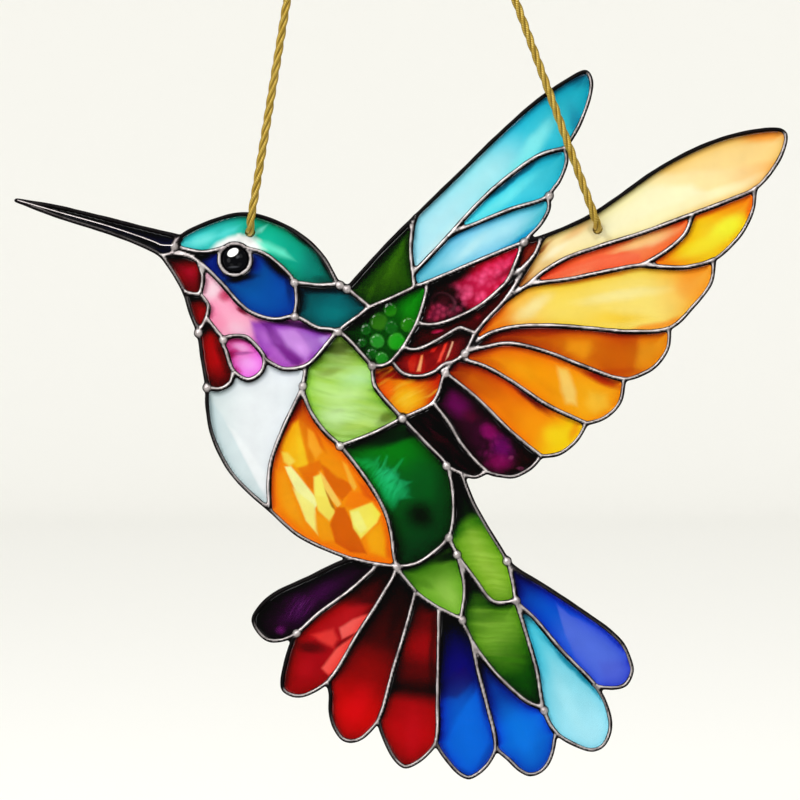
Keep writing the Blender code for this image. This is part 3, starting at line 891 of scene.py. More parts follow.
            # Painted highlight: an outline is bright only where its inner side faces up and to the left, and
            # an inner line's silver leans to its upper side.
            if line.outer:
                inward = -inward if self._field_is_right_of(line) else inward
                shine = self.BILL_SHINE if self.net.runs_along(line, "beak") else self.OUTLINE_SHINE
                share = smooth_step(inward @ self.PAINTED_LIGHT_FROM, *self.OUTLINE_HIGHLIGHT) * shine
                lean = np.full(len(inward), self.OUTLINE_LEAN)
            elif self.net.runs_along(line, "eye"):
                lean = np.zeros(len(inward))
            else:
                lean = self.INNER_LEAN * np.clip(3 * inward @ self.PAINTED_HIGHLIGHT_SIDE, -1, 1)
            places.append(line.points)
            leans.append(inward * lean[:, None])
            shares.append(share)
        return tree_of(np.vstack(places)), np.vstack(leans), np.concatenate(shares)

    def _field_is_right_of(self, line: SolderLine) -> bool:
        """Says whether the pane beside a line lies to its right.

        Args:
            line: A stretch of the outline.

        Returns:
            True where no field lies to its left.
        """
        middle = len(line.points) // 2
        left = left_of(headings(line.points[middle - 1 : middle + 1]))[1] * self.half_width
        return not any(encloses(loop, line.points[middle] + left) for loop in self.net.fields.values())


@dataclass
class BillParting:
    """The thin line of solder along the middle of the bill, where its two halves part.

    Attributes:
        bill: The closed line of solder round the bill's pane, in millimetres.
        half_width: Half the line's width, in millimetres.
        height: How far it stands from the bird's mid-plane, front and back.
        start: Where it starts, as a share of the bill's length from its tip.
        end: Where it ends.
        drop: How far down the bill it lies, as a share of the bill's depth there.
    """

    bill: np.ndarray
    half_width: float = 0.36
    height: float = 2.05
    start: float = 0.02
    end: float = 0.975
    drop: float = 0.58
    STEPS = 40
    # The line's thickness at the tip, and how much thicker it is by the head.
    AT_TIP = 0.92
    THICKENING = 0.2
    RUBBED = (0.6, 0.9)

    def build(self) -> None:
        """Draws the line, raises it on both faces of the pane and rubs it bright."""
        left, right = self.bill[:, 0].min(), self.bill[:, 0].max()
        middle = []
        for number, share in enumerate(np.linspace(self.start, self.end, self.STEPS)):
            x = left + share * (right - left)
            edges = crossings(self.bill, x, axis=0)
            z = edges.max() * (1 - self.drop) + edges.min() * self.drop
            middle.append((x, z, self.AT_TIP + self.THICKENING * number / self.STEPS))
        curve = drawn(
            "bill_parting", [np.array(middle)], closed=False, extrude=(self.height - self.half_width) * MM,
            bevel_depth=self.half_width * MM, bevel_resolution=3, fill_mode="BOTH",
        )
        parting = stood_up(curve)
        weld(parting)
        facing = abs(vertices_of(parting, "normal")[:, 1])
        write_attribute(parting, "rubbed", smooth_step(facing, *self.RUBBED))
        dress(parting, TinLeadSolder().material())
        hand_over(parting, "soldered_came")


# ---- cast acrylic


class Relief(Enum):
    """The face of a pane: the kind of texture that lifts it, its size and its height in millimetres."""

    SMOOTH = ("CLOUDS", 7.0, 0.16)
    ROLLED = ("CLOUDS", 3.6, 0.3)
    BUBBLED = ("VORONOI", 2.6, 0.4)
    CRINKLED = ("CLOUDS", 1.5, 0.55)


@dataclass(frozen=True)
class Ground:
    """What marks are laid on.

    Attributes:
        add: What adds a node to its material.
        place: The place on it, to read a pattern at.
        box: The box that marks are placed in.
    """

    add: Adder
    place: Socket
    box: Box

    def painted(self, colour: Socket, marks: Sequence[Mark]) -> Socket:
        """Lays marks over a colour.

        Args:
            colour: The colour below them.
            marks: The marks, each over the ones before.

        Returns:
            The colour with all of them on it.
        """
        for mark in marks:
            for layer in mark.layers():
                mix = {0: layer.mask(self), BELOW: colour, ABOVE: linear(layer.colour)}
                colour = self.add("Mix", mix, **MIXED)
        return colour


class Mark:
    """Something in a pane with a colour of its own, held inside a cloud where one is given.

    Attributes:
        colour: Its sRGB colour.
        within: The cloud that it stays in, or None for the whole pane.
    """

    colour: str
    within: Patch | None = None

    def layers(self) -> Iterator[Mark]:
        """The layers of colour that it is laid in: itself, unless it is made of several."""
        yield self

    def shape(self, ground: Ground) -> Socket:
        """How much of its colour shows at each place, before it is held inside its cloud."""
        raise NotImplementedError

    def mask(self, ground: Ground) -> Socket:
        """Makes the nodes that say where the mark is.

        Args:
            ground: What it is laid on.

        Returns:
            How much of its colour shows at each place.
        """
        shape = self.shape(ground)
        if self.within is None:
            return shape
        return ground.add("Math", {0: shape, 1: self.within.mask(ground)}, operation="MULTIPLY")


@dataclass(frozen=True)
class Patch(Mark):
    """A soft cloud of colour in a pane.

    Attributes:
        colour: Its sRGB colour.
        centre: Where it lies, in hundredths of the pane's box.
        radii: Half its length and half its width, in millimetres.
        turn: The angle of its length, in degrees anticlockwise from level.
        soft: How far its edge fades, as a share of its size.
        strength: How much of its colour shows.
    """

    colour: str
    centre: Share
    radii: tuple[float, float]
    turn: float = 0
    soft: float = 0.5
    strength: float = 1.0

    def shape(self, ground: Ground) -> Socket:
        """Makes an oval that fades at its edge.

        Args:
            ground: What it is laid on.

        Returns:
            How much of its colour shows at each place.
        """
        laid = {"Vector": ground.place, "Rotation": (0, -math.radians(self.turn), 0)}
        laid |= {"Location": ground.box.at(self.centre), "Scale": (self.radii[0] * MM, 1, self.radii[1] * MM)}
        local = ground.add("Mapping", laid, vector_type="TEXTURE")
        reach = ground.add("VectorMath", {0: local}, out="Value", operation="LENGTH")
        fade = {"From Min": 1 - self.soft, "From Max": 1 + self.soft, "To Min": self.strength, "To Max": 0.0}
        return ground.add("MapRange", {"Value": reach, **fade}, interpolation_type="SMOOTHSTEP")


@dataclass(frozen=True)
class Facet(Mark):
    """A flat-edged shard of colour, as where one pour of acrylic froze against the next.

    Attributes:
        colour: Its sRGB colour.
        corners: Its corners, in hundredths of the pane's box, in order round it. It is convex.
        soft: How far its edge fades, in millimetres.
        strength: How much of its colour shows.
    """

    colour: str
    corners: tuple[Share, ...]
    soft: float = 0.35
    strength: float = 1.0

    def shape(self, ground: Ground) -> Socket:
        """Makes a shard as the least depth inside any of its sides, faded at the edge.

        Args:
            ground: What it is laid on.

        Returns:
            How much of its colour shows at each place.
        """
        corners = [ground.box.at(corner) for corner in self.corners]
        middle = sum(corners, Vector()) / len(corners)
        depth = None
        for first, second in zip(corners, corners[1:] + corners[:1]):
            along = (second - first).normalized()
            inward = Vector((-along.z, 0, along.x))
            if inward.dot(middle - first) < 0:
                inward = -inward
            ways = {0: ground.place, 1: inward}
            reach = ground.add("VectorMath", ways, out="Value", operation="DOT_PRODUCT")
            side = ground.add("Math", {0: reach, 1: inward.dot(first)}, operation="SUBTRACT")
            depth = side if depth is None else ground.add("Math", {0: depth, 1: side}, operation="MINIMUM")
        fade = {"From Min": -self.soft * MM, "From Max": self.soft * MM, "To Max": self.strength}
        return ground.add("MapRange", {"Value": depth, **fade}, interpolation_type="SMOOTHSTEP")


@dataclass(frozen=True)
class Wisps(Mark):
    """Fine parallel streaks, drawn out in the sheet as it was poured.

    Attributes:
        colour: Their sRGB colour.
        turn: The way that they run, in degrees anticlockwise from level.
        size: The length and the width of a streak, in millimetres.
        cover: The share of the pane that they cover.
        strength: How much of their colour shows.
        within: The cloud that they stay in, or None for the whole pane.
    """

    colour: str
    turn: float
    size: tuple[float, float]
    cover: float
    strength: float
    within: Patch | None = None
    RATE = 0.62
    # How far their cover moves the edge in the noise, and how far a streak fades to either side of it.
    SPREAD = 0.34
    BEFORE, AFTER = 0.12, 0.24

    def shape(self, ground: Ground) -> Socket:
        """Makes a noise that is stretched along the streaks and cut off where their cover ends.

        Args:
            ground: What it is laid on.

        Returns:
            How much of its colour shows at each place.
        """
        laid = {"Vector": ground.place, "Rotation": (0, -math.radians(self.turn), 0)}
        laid |= {"Scale": (self.size[0] * MM, 1, self.size[1] * MM)}
        local = ground.add("Mapping", laid, vector_type="TEXTURE")
        noise = ground.add("TexNoise", {"Vector": local, "Scale": self.RATE, "Detail": 1.0})
        edge = 0.5 + (0.5 - self.cover) * self.SPREAD
        fade = {"From Min": edge - self.BEFORE, "From Max": edge + self.AFTER, "To Max": self.strength}
        return ground.add("MapRange", {"Value": noise, **fade}, interpolation_type="SMOOTHSTEP")


@dataclass(frozen=True)
class Crinkle(Mark):
    """Bright blisters with dark creases between them, as crumpled glass has.

    Attributes:
        colour: The blisters' sRGB colour.
        size: How far apart the creases are, in millimetres.
        strength: How much of the colour shows.
        soft: How far a blister fades into its creases.
        within: The cloud that they stay in, or None for the whole pane.
    """

    colour: str
    size: float
    strength: float
    soft: float
    within: Patch | None = None
    ROUNDING = 0.25
    # Where a blister begins to fade and where its crease is, as shares of its size.
    MIDDLE, EDGE = 0.12, 0.24

    def shape(self, ground: Ground) -> Socket:
        """Makes cells that are full of colour in the middle and fade to their creases.

        Args:
            ground: What it is laid on.

        Returns:
            How much of its colour shows at each place.
        """
        cells = {"Vector": ground.place, "Scale": METRE / self.size, "Smoothness": self.ROUNDING}
        reach = ground.add("TexVoronoi", cells, feature="SMOOTH_F1")
        fade = {"From Min": self.MIDDLE, "From Max": self.EDGE + self.soft}
        return ground.add("MapRange", {"Value": reach, **fade, "To Min": self.strength, "To Max": 0.0})


@dataclass(frozen=True)
class Drops(Mark):
    """Round drops that stand in a pane's face.

    Attributes:
        colour: The sRGB colour of a drop.
        rim: The paler colour round it.
        places: Each drop's place, in hundredths of the pane's box, and its radius in millimetres.
    """

    colour: str
    rim: str
    places: tuple[tuple[float, float, float], ...]

    def layers(self) -> Iterator[Patch]:
        """Lays each drop as a pale disc and a smaller darker one on it.

        Returns:
            The discs.
        """
        for across, up, radius in self.places:
            yield Patch(self.rim, (across, up), (radius, radius), soft=0.25, strength=0.8)
            face = (radius * 0.8, radius * 0.78)
            yield Patch(self.colour, (across + 0.8, up - 1), face, soft=0.35, strength=0.85)


@dataclass(frozen=True)
class CastAcrylic:
    """Hand-poured cast acrylic sheet, polished on both faces and lit from behind.

    The eye sees deep clear colour that runs from one shade into the next, with soft clouds and drawn-out
    wisps in it, and that darkens in the shadow of the solder along its upper and left edges.

    Attributes:
        shades: The main colours, each with how far it is from start to end, in hundredths.
        start: Where the first shade lies, in hundredths of the pane's box.
        end: Where the last shade lies.
        marks: The patches, wisps and other marks, each over the ones before.
        relief: How the face of the pane was made.
        clear: The share of the light that goes through.
        drift: How far the marks wander from their plain shapes, in millimetres.
        rim: How dark the shadow of the solder is.
    """

    shades: Shades
    start: Share
    end: Share
    marks: tuple[Mark, ...]
    relief: Relief = Relief.SMOOTH
    clear: float = 0.92
    drift: float = 0.7
    rim: float = 0.85
    FLOW_MM = 8.0
    MOTTLE_MM = 6.0
    # In the solder's shadow a colour deepens by this power, and past this much shadow it is dimmed too.
    DEEPEN = 2.3
    DIM_FROM = 0.3
    IOR = 1.49

    @classmethod
    def poured(cls, shades: Shades, start: Share, end: Share, *marks: Mark, **look: Any) -> Self:
        """The finish with these shades from start to end and these marks; look gives other fields by name."""
        return cls(shades, start, end, marks, **look)

    def material(self, name: str, box: Box) -> Material:
        """Makes the pane's material, which reads the vertex attribute "shade".

        Args:
            name: The pane's name.
            box: The pane's box, which its marks are placed in.

        Returns:
            The material.
        """
        made, add, shader = new_material(f"cast_acrylic_{name}")
        place = add("TexCoord", out="Object")
        flat = add("VectorMath", {0: place, 1: (1, 0, 1)}, operation="MULTIPLY")
        flow = add("TexNoise", {"Vector": flat, "Scale": METRE / self.FLOW_MM, "Detail": 2.2})
        ways = flow.node.outputs["Color"]
        push = add("VectorMath", {0: ways, 1: (0.5, 0.5, 0.5)}, operation="SUBTRACT")
        reach = 4 * self.drift * MM
        drifted = add("VectorMath", {0: push, 1: (reach, 0, reach), 2: flat}, operation="MULTIPLY_ADD")
        ground = Ground(add, drifted, box)
        colour = ground.painted(self._shades(ground), self.marks)
        mottle = add("TexNoise", {"Vector": flat, "Scale": METRE / self.MOTTLE_MM, "Detail": 3.0})
        span = {"From Min": 0.3, "From Max": 0.7, "To Min": 0.95, "To Max": 1.04}
        depth = add("MapRange", {"Value": mottle, **span})
        shade = add("Attribute", out="Fac", attribute_name="shade")
        deepen = add("MapRange", {"Value": shade, "To Min": 1.0, "To Max": self.DEEPEN})
        deep = add("Gamma", {"Color": colour, "Gamma": deepen})
        span = {"From Min": self.DIM_FROM, "To Min": 1.0, "To Max": 1 - self.rim}
        dim = add("MapRange", {"Value": shade, **span})
        light = add("Math", {0: depth, 1: dim}, operation="MULTIPLY")
        seen = add("VectorMath", {0: deep, "Scale": light}, operation="SCALE")
        rough = add("MapRange", {"Value": mottle, "To Min": 0.03, "To Max": 0.16})
        bump = add("Bump", {"Height": flow, "Strength": 0.3, "Distance": 0.5 * MM})
        feed(shader, {"Base Color": seen, "Roughness": rough, "Normal": bump})
        feed(shader, {"Transmission Weight": self.clear, "IOR": self.IOR})
        return made

    def _shades(self, ground: Ground) -> Socket:
        """Makes the main colours along the line from start to end.

        Args:
            ground: What they are laid on.

        Returns:
            The colour at each place.
        """
        start, end = ground.box.at(self.start), ground.box.at(self.end)
        gone = ground.add("VectorMath", {0: ground.place, 1: start}, operation="SUBTRACT")
        across = {0: gone, 1: (end - start) / (end - start).length_squared}
        share = ground.add("VectorMath", across, out="Value", operation="DOT_PRODUCT")
        colour = ground.add("ValToRGB", {"Fac": share})
        ramp = colour.node.color_ramp
        ramp.interpolation = "EASE"
        while len(ramp.elements) < len(self.shades):
            ramp.elements.new(0.5)
        for stop, (position, shade) in zip(ramp.elements, self.shades):
            stop.position = position / 100
            stop.color = linear(shade)
        return colour


# In many panes the first shade, at the top or an upper corner, is near black or deep, and thin dark patches
# lie along some upper edges: painted shade below the solder, besides the shadow that the material paints.
FINISHES: dict[str, CastAcrylic] = {
    "beak": CastAcrylic.poured(
        ((0, "#0b1126"), (53, "#0a0d20"), (100, "#0a0a2e")), (-17, 115), (96, 21),
        Wisps("#222b52", -16, (9, 0.5), 0.35, 0.5), Patch("#05060c", (80, 19), (5.2, 0.8), -16),
        clear=0.3, rim=0.3,
    ),
    "crown": CastAcrylic.poured(
        (
            (0, "#5bd7da"), (17, "#44cac5"), (49, "#0fc0a0"), (69, "#08a98e"), (86, "#008072"),
            (100, "#00675d"),
        ), (4, 58), (98, 3),
        Patch("#7deae7", (15, 66), (3.1, 1.3), 25, 0.7, 0.7),
        Facet("#ffffff", ((20, 50), (25, 61), (31, 69), (39, 72), (40, 61), (29, 54)), 0.9),
        Facet("#ffffff", ((38, 72), (47, 71), (52, 64), (56, 50), (45, 50), (36, 58)), 0.8),
        Facet("#74f1d5", ((48, 66), (57, 61), (67, 49), (71, 37), (64, 41), (53, 52)), 1.0, 0.85),
        Facet("#99f3e5", ((47, 72), (50, 82), (57, 90), (53, 78)), 0.5, 0.7),
        Facet("#5de1e1", ((24, 72), (30, 82), (39, 87), (36, 76), (29, 69)), 0.8, 0.6),
        # Painted shade: these two near-black patches darken the upper right and right edges.
        Patch("#000508", (78, 75), (7.2, 1.6), -40), Patch("#000508", (94, 32), (4.1, 1.3), -62, 0.6),
        Patch("#00544d", (94, 5), (3.1, 1.0), -5, 0.6, 0.7),
        clear=0.45, drift=0.3,
    ),
    "cheek": CastAcrylic.poured(
        ((0, "#000000"), (15, "#042c90"), (48, "#0057a2"), (77, "#0051b2"), (100, "#0047ad")),
        (18, 95), (98, 8),
        Patch("#005cb8", (64, 25), (4.7, 2.6), -25, 0.8, 0.6),
        # Painted shade: the shades start black at the upper left tip, and near-black patches darken the tip,
        # the upper right edge and a band across the middle.
        Patch("#000000", (20, 92), (2.3, 1.6), -25, 0.6), Patch("#000114", (86, 76), (5.2, 1.8), -42, 0.7),
        Patch("#000112", (54, 57), (3.9, 0.9), 10, 0.7, 0.9),
        Patch("#003cad", (69, 79), (1.3, 1.8), 0, 0.7, 0.6),
        Patch("#000e4f", (96, 46), (1.0, 3.6), 0, 0.7, 0.6),
        drift=0.4,
    ),
    "nape": CastAcrylic.poured(
        ((0, "#002b3c"), (21, "#00626a"), (50, "#007079"), (100, "#005c64")), (4, 86), (100, 35),
        # Painted shade: the shades start dark at the upper left, and this dark band lies along the upper
        # edge.
        Patch("#002839", (45, 88), (7.8, 0.8), -3, 0.7, 0.8),
        Patch("#008287", (53, 35), (3.6, 1.6), -5, 0.8, 0.6),
        rim=0.6, drift=0.4,
    ),
    # Painted shade: the throat panes' shades start dark at their tops, and a near-black patch darkens the
    # upper pane's right edge.
    "throat_upper": CastAcrylic.poured(
        ((0, "#3c0009"), (51, "#9f001f"), (100, "#720009")), (35, 103), (86, 6),
        Patch("#b50f2b", (78, 60), (1.3, 1.0), 0, 0.8, 0.7),
        Patch("#0f0000", (103, 29), (0.8, 3.6), 0, 0.7, 0.8),
        rim=0.6, drift=0.3,
    ),
    "throat_middle": CastAcrylic.poured(
        ((0, "#170000"), (29, "#890003"), (58, "#990009"), (100, "#860006")), (59, 92), (86, 5),
        Patch("#aa000e", (70, 42), (0.8, 1.6), 0, 0.8, 0.6),
        rim=0.5, drift=0.3,
    ),
    "throat_lower": CastAcrylic.poured(
        ((0, "#390005"), (23, "#ab0008"), (55, "#b8000a"), (100, "#5a0003")), (15, 93), (82, 4),
        Patch("#c1000c", (22, 58), (1.3, 3.1), -10, 0.8, 0.7),
        Patch("#490003", (75, 46), (1.0, 5.7), 18, 0.7, 0.7),
        rim=0.6, drift=0.3,
    ),
    "blush": CastAcrylic.poured(
        ((0, "#ffd7e7"), (39, "#ffb3d2"), (75, "#ffc1db"), (100, "#f1a7d9")), (3, 85), (37, 30),
        Patch("#ffe7f3", (8, 80), (1.3, 2.3), -30, 0.7, 0.8),
        Patch("#ff9ec3", (14, 47), (2.6, 1.6), -40, 0.8, 0.6),
        Patch("#dc5e88", (16, 73), (1.3, 1.3), -50, 0.7, 0.85),
        Patch("#af275d", (30, 58), (1.6, 0.6), -30, 0.6, 0.85),
        Patch("#ffd7ec", (28, 37), (2.6, 1.3), -30, 0.8, 0.7),
        Facet("#b162cd", ((37, 47), (74, 47), (100, 34), (88, 7), (63, -1), (45, 15), (39, 30)), 0.9),
        Facet("#9041a9", ((45, 46), (56, 42), (65, 23), (77, 5), (68, 1), (53, 23)), 0.9, 0.9),
        Facet("#d597ee", ((58, 40), (71, 38), (84, 18), (79, 6), (64, 22)), 0.9, 0.9),
        Facet("#bf69d4", ((45, 18), (53, 21), (68, 2), (61, -2)), 0.8, 0.9),
        Facet("#822296", ((56, 23), (60, 22), (77, 5), (73, 0), (64, 8)), 0.7, 0.85),
        Facet("#b67fd9", ((74, 37), (88, 34), (99, 30), (87, 10), (81, 18)), 0.9, 0.8),
        Patch("#e8a7ff", (74, 18), (1.8, 1.0), -50, 0.8, 0.7),
        Patch("#d0b5f3", (94, 28), (1.6, 1.3), -30, 0.7, 0.7),
        Patch("#c475dd", (47, 30), (1.0, 2.3), 10, 0.8, 0.6),
        Patch("#4b1454", (74, 43), (8.8, 0.8), -12, 0.7, 0.85),
        clear=0.75, drift=0.35,
    ),
    "throat_spot": CastAcrylic.poured(
        ((0, "#dc67ac"), (46, "#f085d4"), (100, "#f994f6")), (6, 87), (72, 24),
        Patch("#bf257b", (12, 58), (1.0, 2.6), -60, 0.7, 0.9),
        Patch("#f9bbed", (42, 79), (2.1, 0.9), -20, 0.7, 0.8),
        Patch("#ab54a2", (47, 62), (2.3, 0.4), 3, 0.7, 0.7),
        Patch("#5c183f", (56, 97), (2.6, 0.6), -25, 0.7, 0.8),
        Patch("#f9affb", (64, 35), (2.3, 1.3), -20, 0.8, 0.7),
        Patch("#c9368f", (34, 17), (1.3, 0.8), -30, 0.7, 0.6),
        clear=0.75, drift=0.3,
    ),
    "breast": CastAcrylic.poured(
        ((0, "#dbe6e8"), (50, "#e9eef2"), (100, "#edf2f8")), (0, 75), (87, 74),
        Facet("#d4e2e6", ((-1, 80), (19, 55), (60, 8), (64, -5), (27, 16), (0, 47)), 0.5, 0.9),
        Facet("#f4f7fa", ((20, 55), (27, 52), (63, 19), (63, 9), (55, 11)), 0.6, 0.6),
        Patch("#dfe6ea", (85, 75), (4.1, 3.1), 0, 0.8, 0.6),
        clear=0.55, drift=0.3,
    ),
    "mantle": CastAcrylic.poured(
        ((0, "#7e9741"), (36, "#b3df61"), (100, "#a5cc61")), (37, 91), (61, 7),
        Wisps("#cbf3a0", -6, (11, 1.3), 0.55, 0.6), Wisps("#7cb446", -12, (9, 0.8), 0.34, 0.4),
        Patch("#617533", (33, 89), (3.4, 1.6), 10, 0.6),
        Patch("#d3f5ae", (43, 44), (4.7, 1.6), 5, 0.9, 0.6),
        Patch("#8db45c", (74, 50), (1.6, 0.6), 10, 0.8, 0.6),
        Patch("#9bb866", (35, 30), (1.8, 0.5), 5, 0.8, 0.6),
        Patch("#7e943a", (27, 67), (3.1, 1.0), 18, 0.8, 0.55),
        Patch("#c7f7cb", (57, 59), (4.1, 2.1), 5, 0.9, 0.4),
        Patch("#dcfcc6", (30, 25), (4.1, 2.3), 8, 0.9, 0.5),
        Patch("#c2e26f", (61, 17), (3.6, 1.3), 5, 0.8, 0.6),
        Patch("#687e27", (88, 24), (2.3, 1.3), 35, 0.7, 0.8),
        relief=Relief.ROLLED, clear=0.7,
    ),
    "scapular": CastAcrylic.poured(
        ((0, "#0d8b0a"), (40, "#005600"), (100, "#003500")), (91, 82), (10, 33),
        Patch("#12910c", (84, 72), (2.3, 2.3), 0, 0.8, 0.8),
        Patch("#002300", (29, 59), (4.7, 1.6), 28, 0.7),
        Patch("#004000", (55, 38), (3.6, 3.1), 0, 0.9, 0.6),
        Drops("#268d0e", "#379417", ((58, 69, 1.68), (80, 50, 1.81))),
        Drops("#2e770e", "#398017", ((44, 54, 2.07),)),
        Drops("#209424", "#3e9f3a", ((42, 29, 1.68), (48, 7, 1.55))),
        Drops("#1fac1b", "#3cb92d", ((65, 29, 2.07),)),
        Drops("#0b630e", "#187020", ((29, 44, 1.29), (59, 47, 1.55), (36, 13, 1.29), (24, 27, 1.03))),
        drift=0.3,
    ),
    "belly": CastAcrylic.poured(
        ((0, "#a23e01"), (9, "#e27103"), (24, "#fc9a08"), (65, "#ff9805"), (100, "#fe8f03")),
        (25, 95), (92, 4),
        Facet("#ffc41a", (
            (17, 82), (22, 84), (27, 69), (30, 56), (25, 53), (14, 60), (8, 68), (10, 74),
        ), 0.8),
        Facet("#ffcf21", ((20, 75), (25, 73), (30, 57), (23, 55)), 0.6, 0.8),
        Facet("#e98303", ((22, 86), (27, 82), (35, 61), (31, 57), (26, 71)), 0.5, 0.8),
        Facet("#ffad28", ((30, 79), (35, 77), (41, 66), (36, 62), (30, 69)), 0.5),
        Facet("#e76a03", ((33, 81), (38, 76), (44, 66), (39, 69)), 0.6, 0.7),
        Facet("#ee7501", ((21, 56), (39, 61), (41, 56), (34, 51), (25, 51)), 0.5, 0.9),
        Facet("#ee7501", ((25, 51), (35, 54), (34, 43), (29, 45)), 0.5, 0.9),
        Facet("#e56a00", (
            (40, 59), (48, 55), (65, 47), (66, 43), (58, 37), (53, 40), (44, 49),
        ), 0.45, 0.95),
        Facet("#f99a08", ((45, 62), (57, 59), (63, 49), (54, 50), (48, 54)), 0.5, 0.75),
        Facet("#ffbd41", ((58, 60), (62, 58), (70, 45), (68, 43), (64, 47))),
        Facet("#ff8605", ((64, 42), (74, 42), (83, 39), (80, 37), (70, 32), (60, 34)), 0.45, 0.9),
        Facet("#e96a01", ((70, 49), (77, 45), (84, 37), (75, 40)), 0.6, 0.75),
        Facet("#ffb118", ((3, 56), (10, 53), (22, 31), (26, 21), (15, 28), (4, 40)), 0.9, 0.6),
        Facet("#ffe966", ((8, 66), (13, 65), (19, 60), (15, 57), (10, 60)), 0.5, 0.85),
        Facet("#ffffab", ((11, 57), (16, 57), (39, 36), (35, 32), (24, 37), (15, 50)), 0.3),
        Facet("#fff989", ((18, 44), (35, 34), (38, 17), (28, 25)), 0.35, 0.95),
        Facet("#fff56d", ((34, 51), (40, 53), (47, 37), (41, 31), (35, 39)), 0.4),
        Facet("#ffed62", ((35, 40), (45, 39), (52, 30), (47, 25), (38, 31)), 0.4),
        Facet("#ffd866", ((39, 54), (43, 51), (57, 35), (54, 33), (46, 40)), 0.3, 0.9),
        Facet("#ab680a", ((44, 43), (47, 40), (53, 31), (49, 33)), 0.3, 0.8),
        Facet("#ffaa11", ((35, 29), (46, 26), (51, 14), (41, 13), (36, 20)), 0.5, 0.8),
        Facet("#e06300", ((53, 33), (60, 33), (78, 6), (64, 7), (52, 12), (48, 23)), 0.4, 0.95),
        Facet("#fff262", ((64, 31), (82, 36), (89, 29), (86, 24), (73, 15), (67, 21)), 0.4),
        Facet("#ffff90", ((65, 30), (71, 31), (78, 21), (73, 18), (67, 23)), 0.45, 0.85),
        Facet("#ffb80f", ((77, 17), (89, 24), (93, 14), (93, 4), (81, 7)), 0.8, 0.75),
        Facet("#ec7805", ((93, 26), (98, 15), (99, 2), (94, 4)), 0.7, 0.7),
        drift=0.15,
    ),
    "rump": CastAcrylic.poured(
        ((0, "#002400"), (17, "#007312"), (53, "#005817"), (100, "#003610")), (7, 89), (57, 1),
        Patch("#007e0c", (47, 79), (5.7, 3.1), 0, 0.8, 0.8),
        Patch("#005817", (80, 59), (3.1, 4.1), 20, 0.8, 0.7),
        Patch("#001200", (72, 34), (3.4, 3.1), 0, 0.8), Patch("#00380c", (91, 41), (2.1, 9.3), 0, 0.7, 0.7),
        Patch("#002807", (50, 90), (10.3, 1.6), 14, 0.6),
        Facet("#16a94f", ((6, 77), (20, 72), (28, 66), (17, 67)), 0.5, 0.85),
        Patch("#11a94f", (23, 68), (2.6, 1.6), -35, 0.7, 0.9),
        Patch("#0dad4b", (31, 60), (2.1, 2.1), -45, 0.8, 0.85),
        Patch("#16bf6f", (41, 53), (2.3, 3.6), 8, 0.7, 0.95),
        Patch("#23c881", (42, 62), (1.8, 1.6), 0, 0.8, 0.8),
        Patch("#11ad63", (50, 50), (2.3, 1.6), 20, 0.8, 0.75),
        Patch("#0da258", (44, 43), (1.3, 2.1), 0, 0.8, 0.75),
        Facet("#0fa04b", ((47, 63), (50, 66), (57, 74), (55, 74), (45, 66)), 0.35, 0.75),
        Facet("#16a04f", ((36, 67), (40, 67), (41, 76), (39, 77)), 0.4, 0.75),
        Facet("#13a954", ((27, 69), (32, 69), (32, 75), (31, 74)), 0.4, 0.7),
        Facet("#16ad66", ((48, 60), (63, 58), (52, 53)), 0.6, 0.65),
        Facet("#11a45d", ((50, 50), (62, 46), (51, 44)), 0.7, 0.55),
        Wisps("#28cd85", 58, (3, 0.5), 0.4, 0.6, Patch("#28cd85", (36, 60), (5.7, 3.4), -42, 0.6)),
        Wisps("#008527", 40, (3, 0.5), 0.36, 0.6, Patch("#008527", (31, 63), (6.2, 2.6), -42, 0.6)),
        drift=0.6,
    ),
    "small_orange": CastAcrylic.poured(
        ((0, "#d64800"), (54, "#fba206"), (100, "#d63700")), (1, 86), (89, 70),
        Patch("#fbbf14", (45, 31), (3.4, 2.6), 5, 0.8),
        # Painted shadow: this near-black band and the dark red band under it lie along the top edge.
        Patch("#360000", (41, 86), (8.3, 1.3), -3, 0.7, 0.85),
        Patch("#fb7600", (18, 54), (1.8, 2.1), 0, 0.6, 0.8),
        Patch("#a51500", (41, 82), (7.8, 1.0), -3, 0.6), Wisps("#fbd245", 30, (6, 0.8), 0.35, 0.6),
    ),
    "red_streak": CastAcrylic.poured(
        ((0, "#7f0e13"), (32, "#b91a13"), (57, "#9c1113"), (100, "#390610")), (4, 19), (97, 83),
        Facet("#d62e19", ((17, 28), (25, 51), (30, 51), (26, 7), (19, 7)), 0.4, 0.8),
        Facet("#ffb17b", ((34, 42), (37, 44), (34, 7), (29, 7)), 0.3),
        Facet("#f94839", ((47, 58), (55, 62), (51, 51), (46, 49)), 0.3, 0.8),
        Facet("#fe5744", ((64, 69), (68, 74), (60, 30), (55, 26)), 0.3),
        Facet("#ffcbaa", ((73, 76), (75, 75), (70, 42), (67, 35)), 0.3),
        Facet("#7f060d", ((38, 44), (48, 49), (56, 28), (41, 5)), 0.6, 0.7),
        Patch("#1f0610", (46, 69), (8.8, 1.0), 20, 0.7, 0.9),
        drift=0.3,
    ),
    "maroon_wedge": CastAcrylic.poured(
        ((0, "#350002"), (31, "#4d0008"), (100, "#520005")), (5, 11), (84, 67),
        Patch("#d82d6e", (28, 23), (1.3, 0.5), 10, 0.6, 0.8),
        Patch("#8f1028", (64, 43), (0.8, 1.0), 60, 0.7, 0.6),
        relief=Relief.CRINKLED, drift=0.4,
    ),
    "magenta": CastAcrylic.poured(
        ((0, "#1f0004"), (32, "#290009"), (39, "#ad0d3e"), (55, "#d41c51"), (100, "#dd2556")),
        (4, 6), (105, 90),
        Crinkle("#ff5d95", 1.8, 1.0, 0.5, Patch("#ff5d95", (66, 51), (9.3, 4.9), 25, 0.6)),
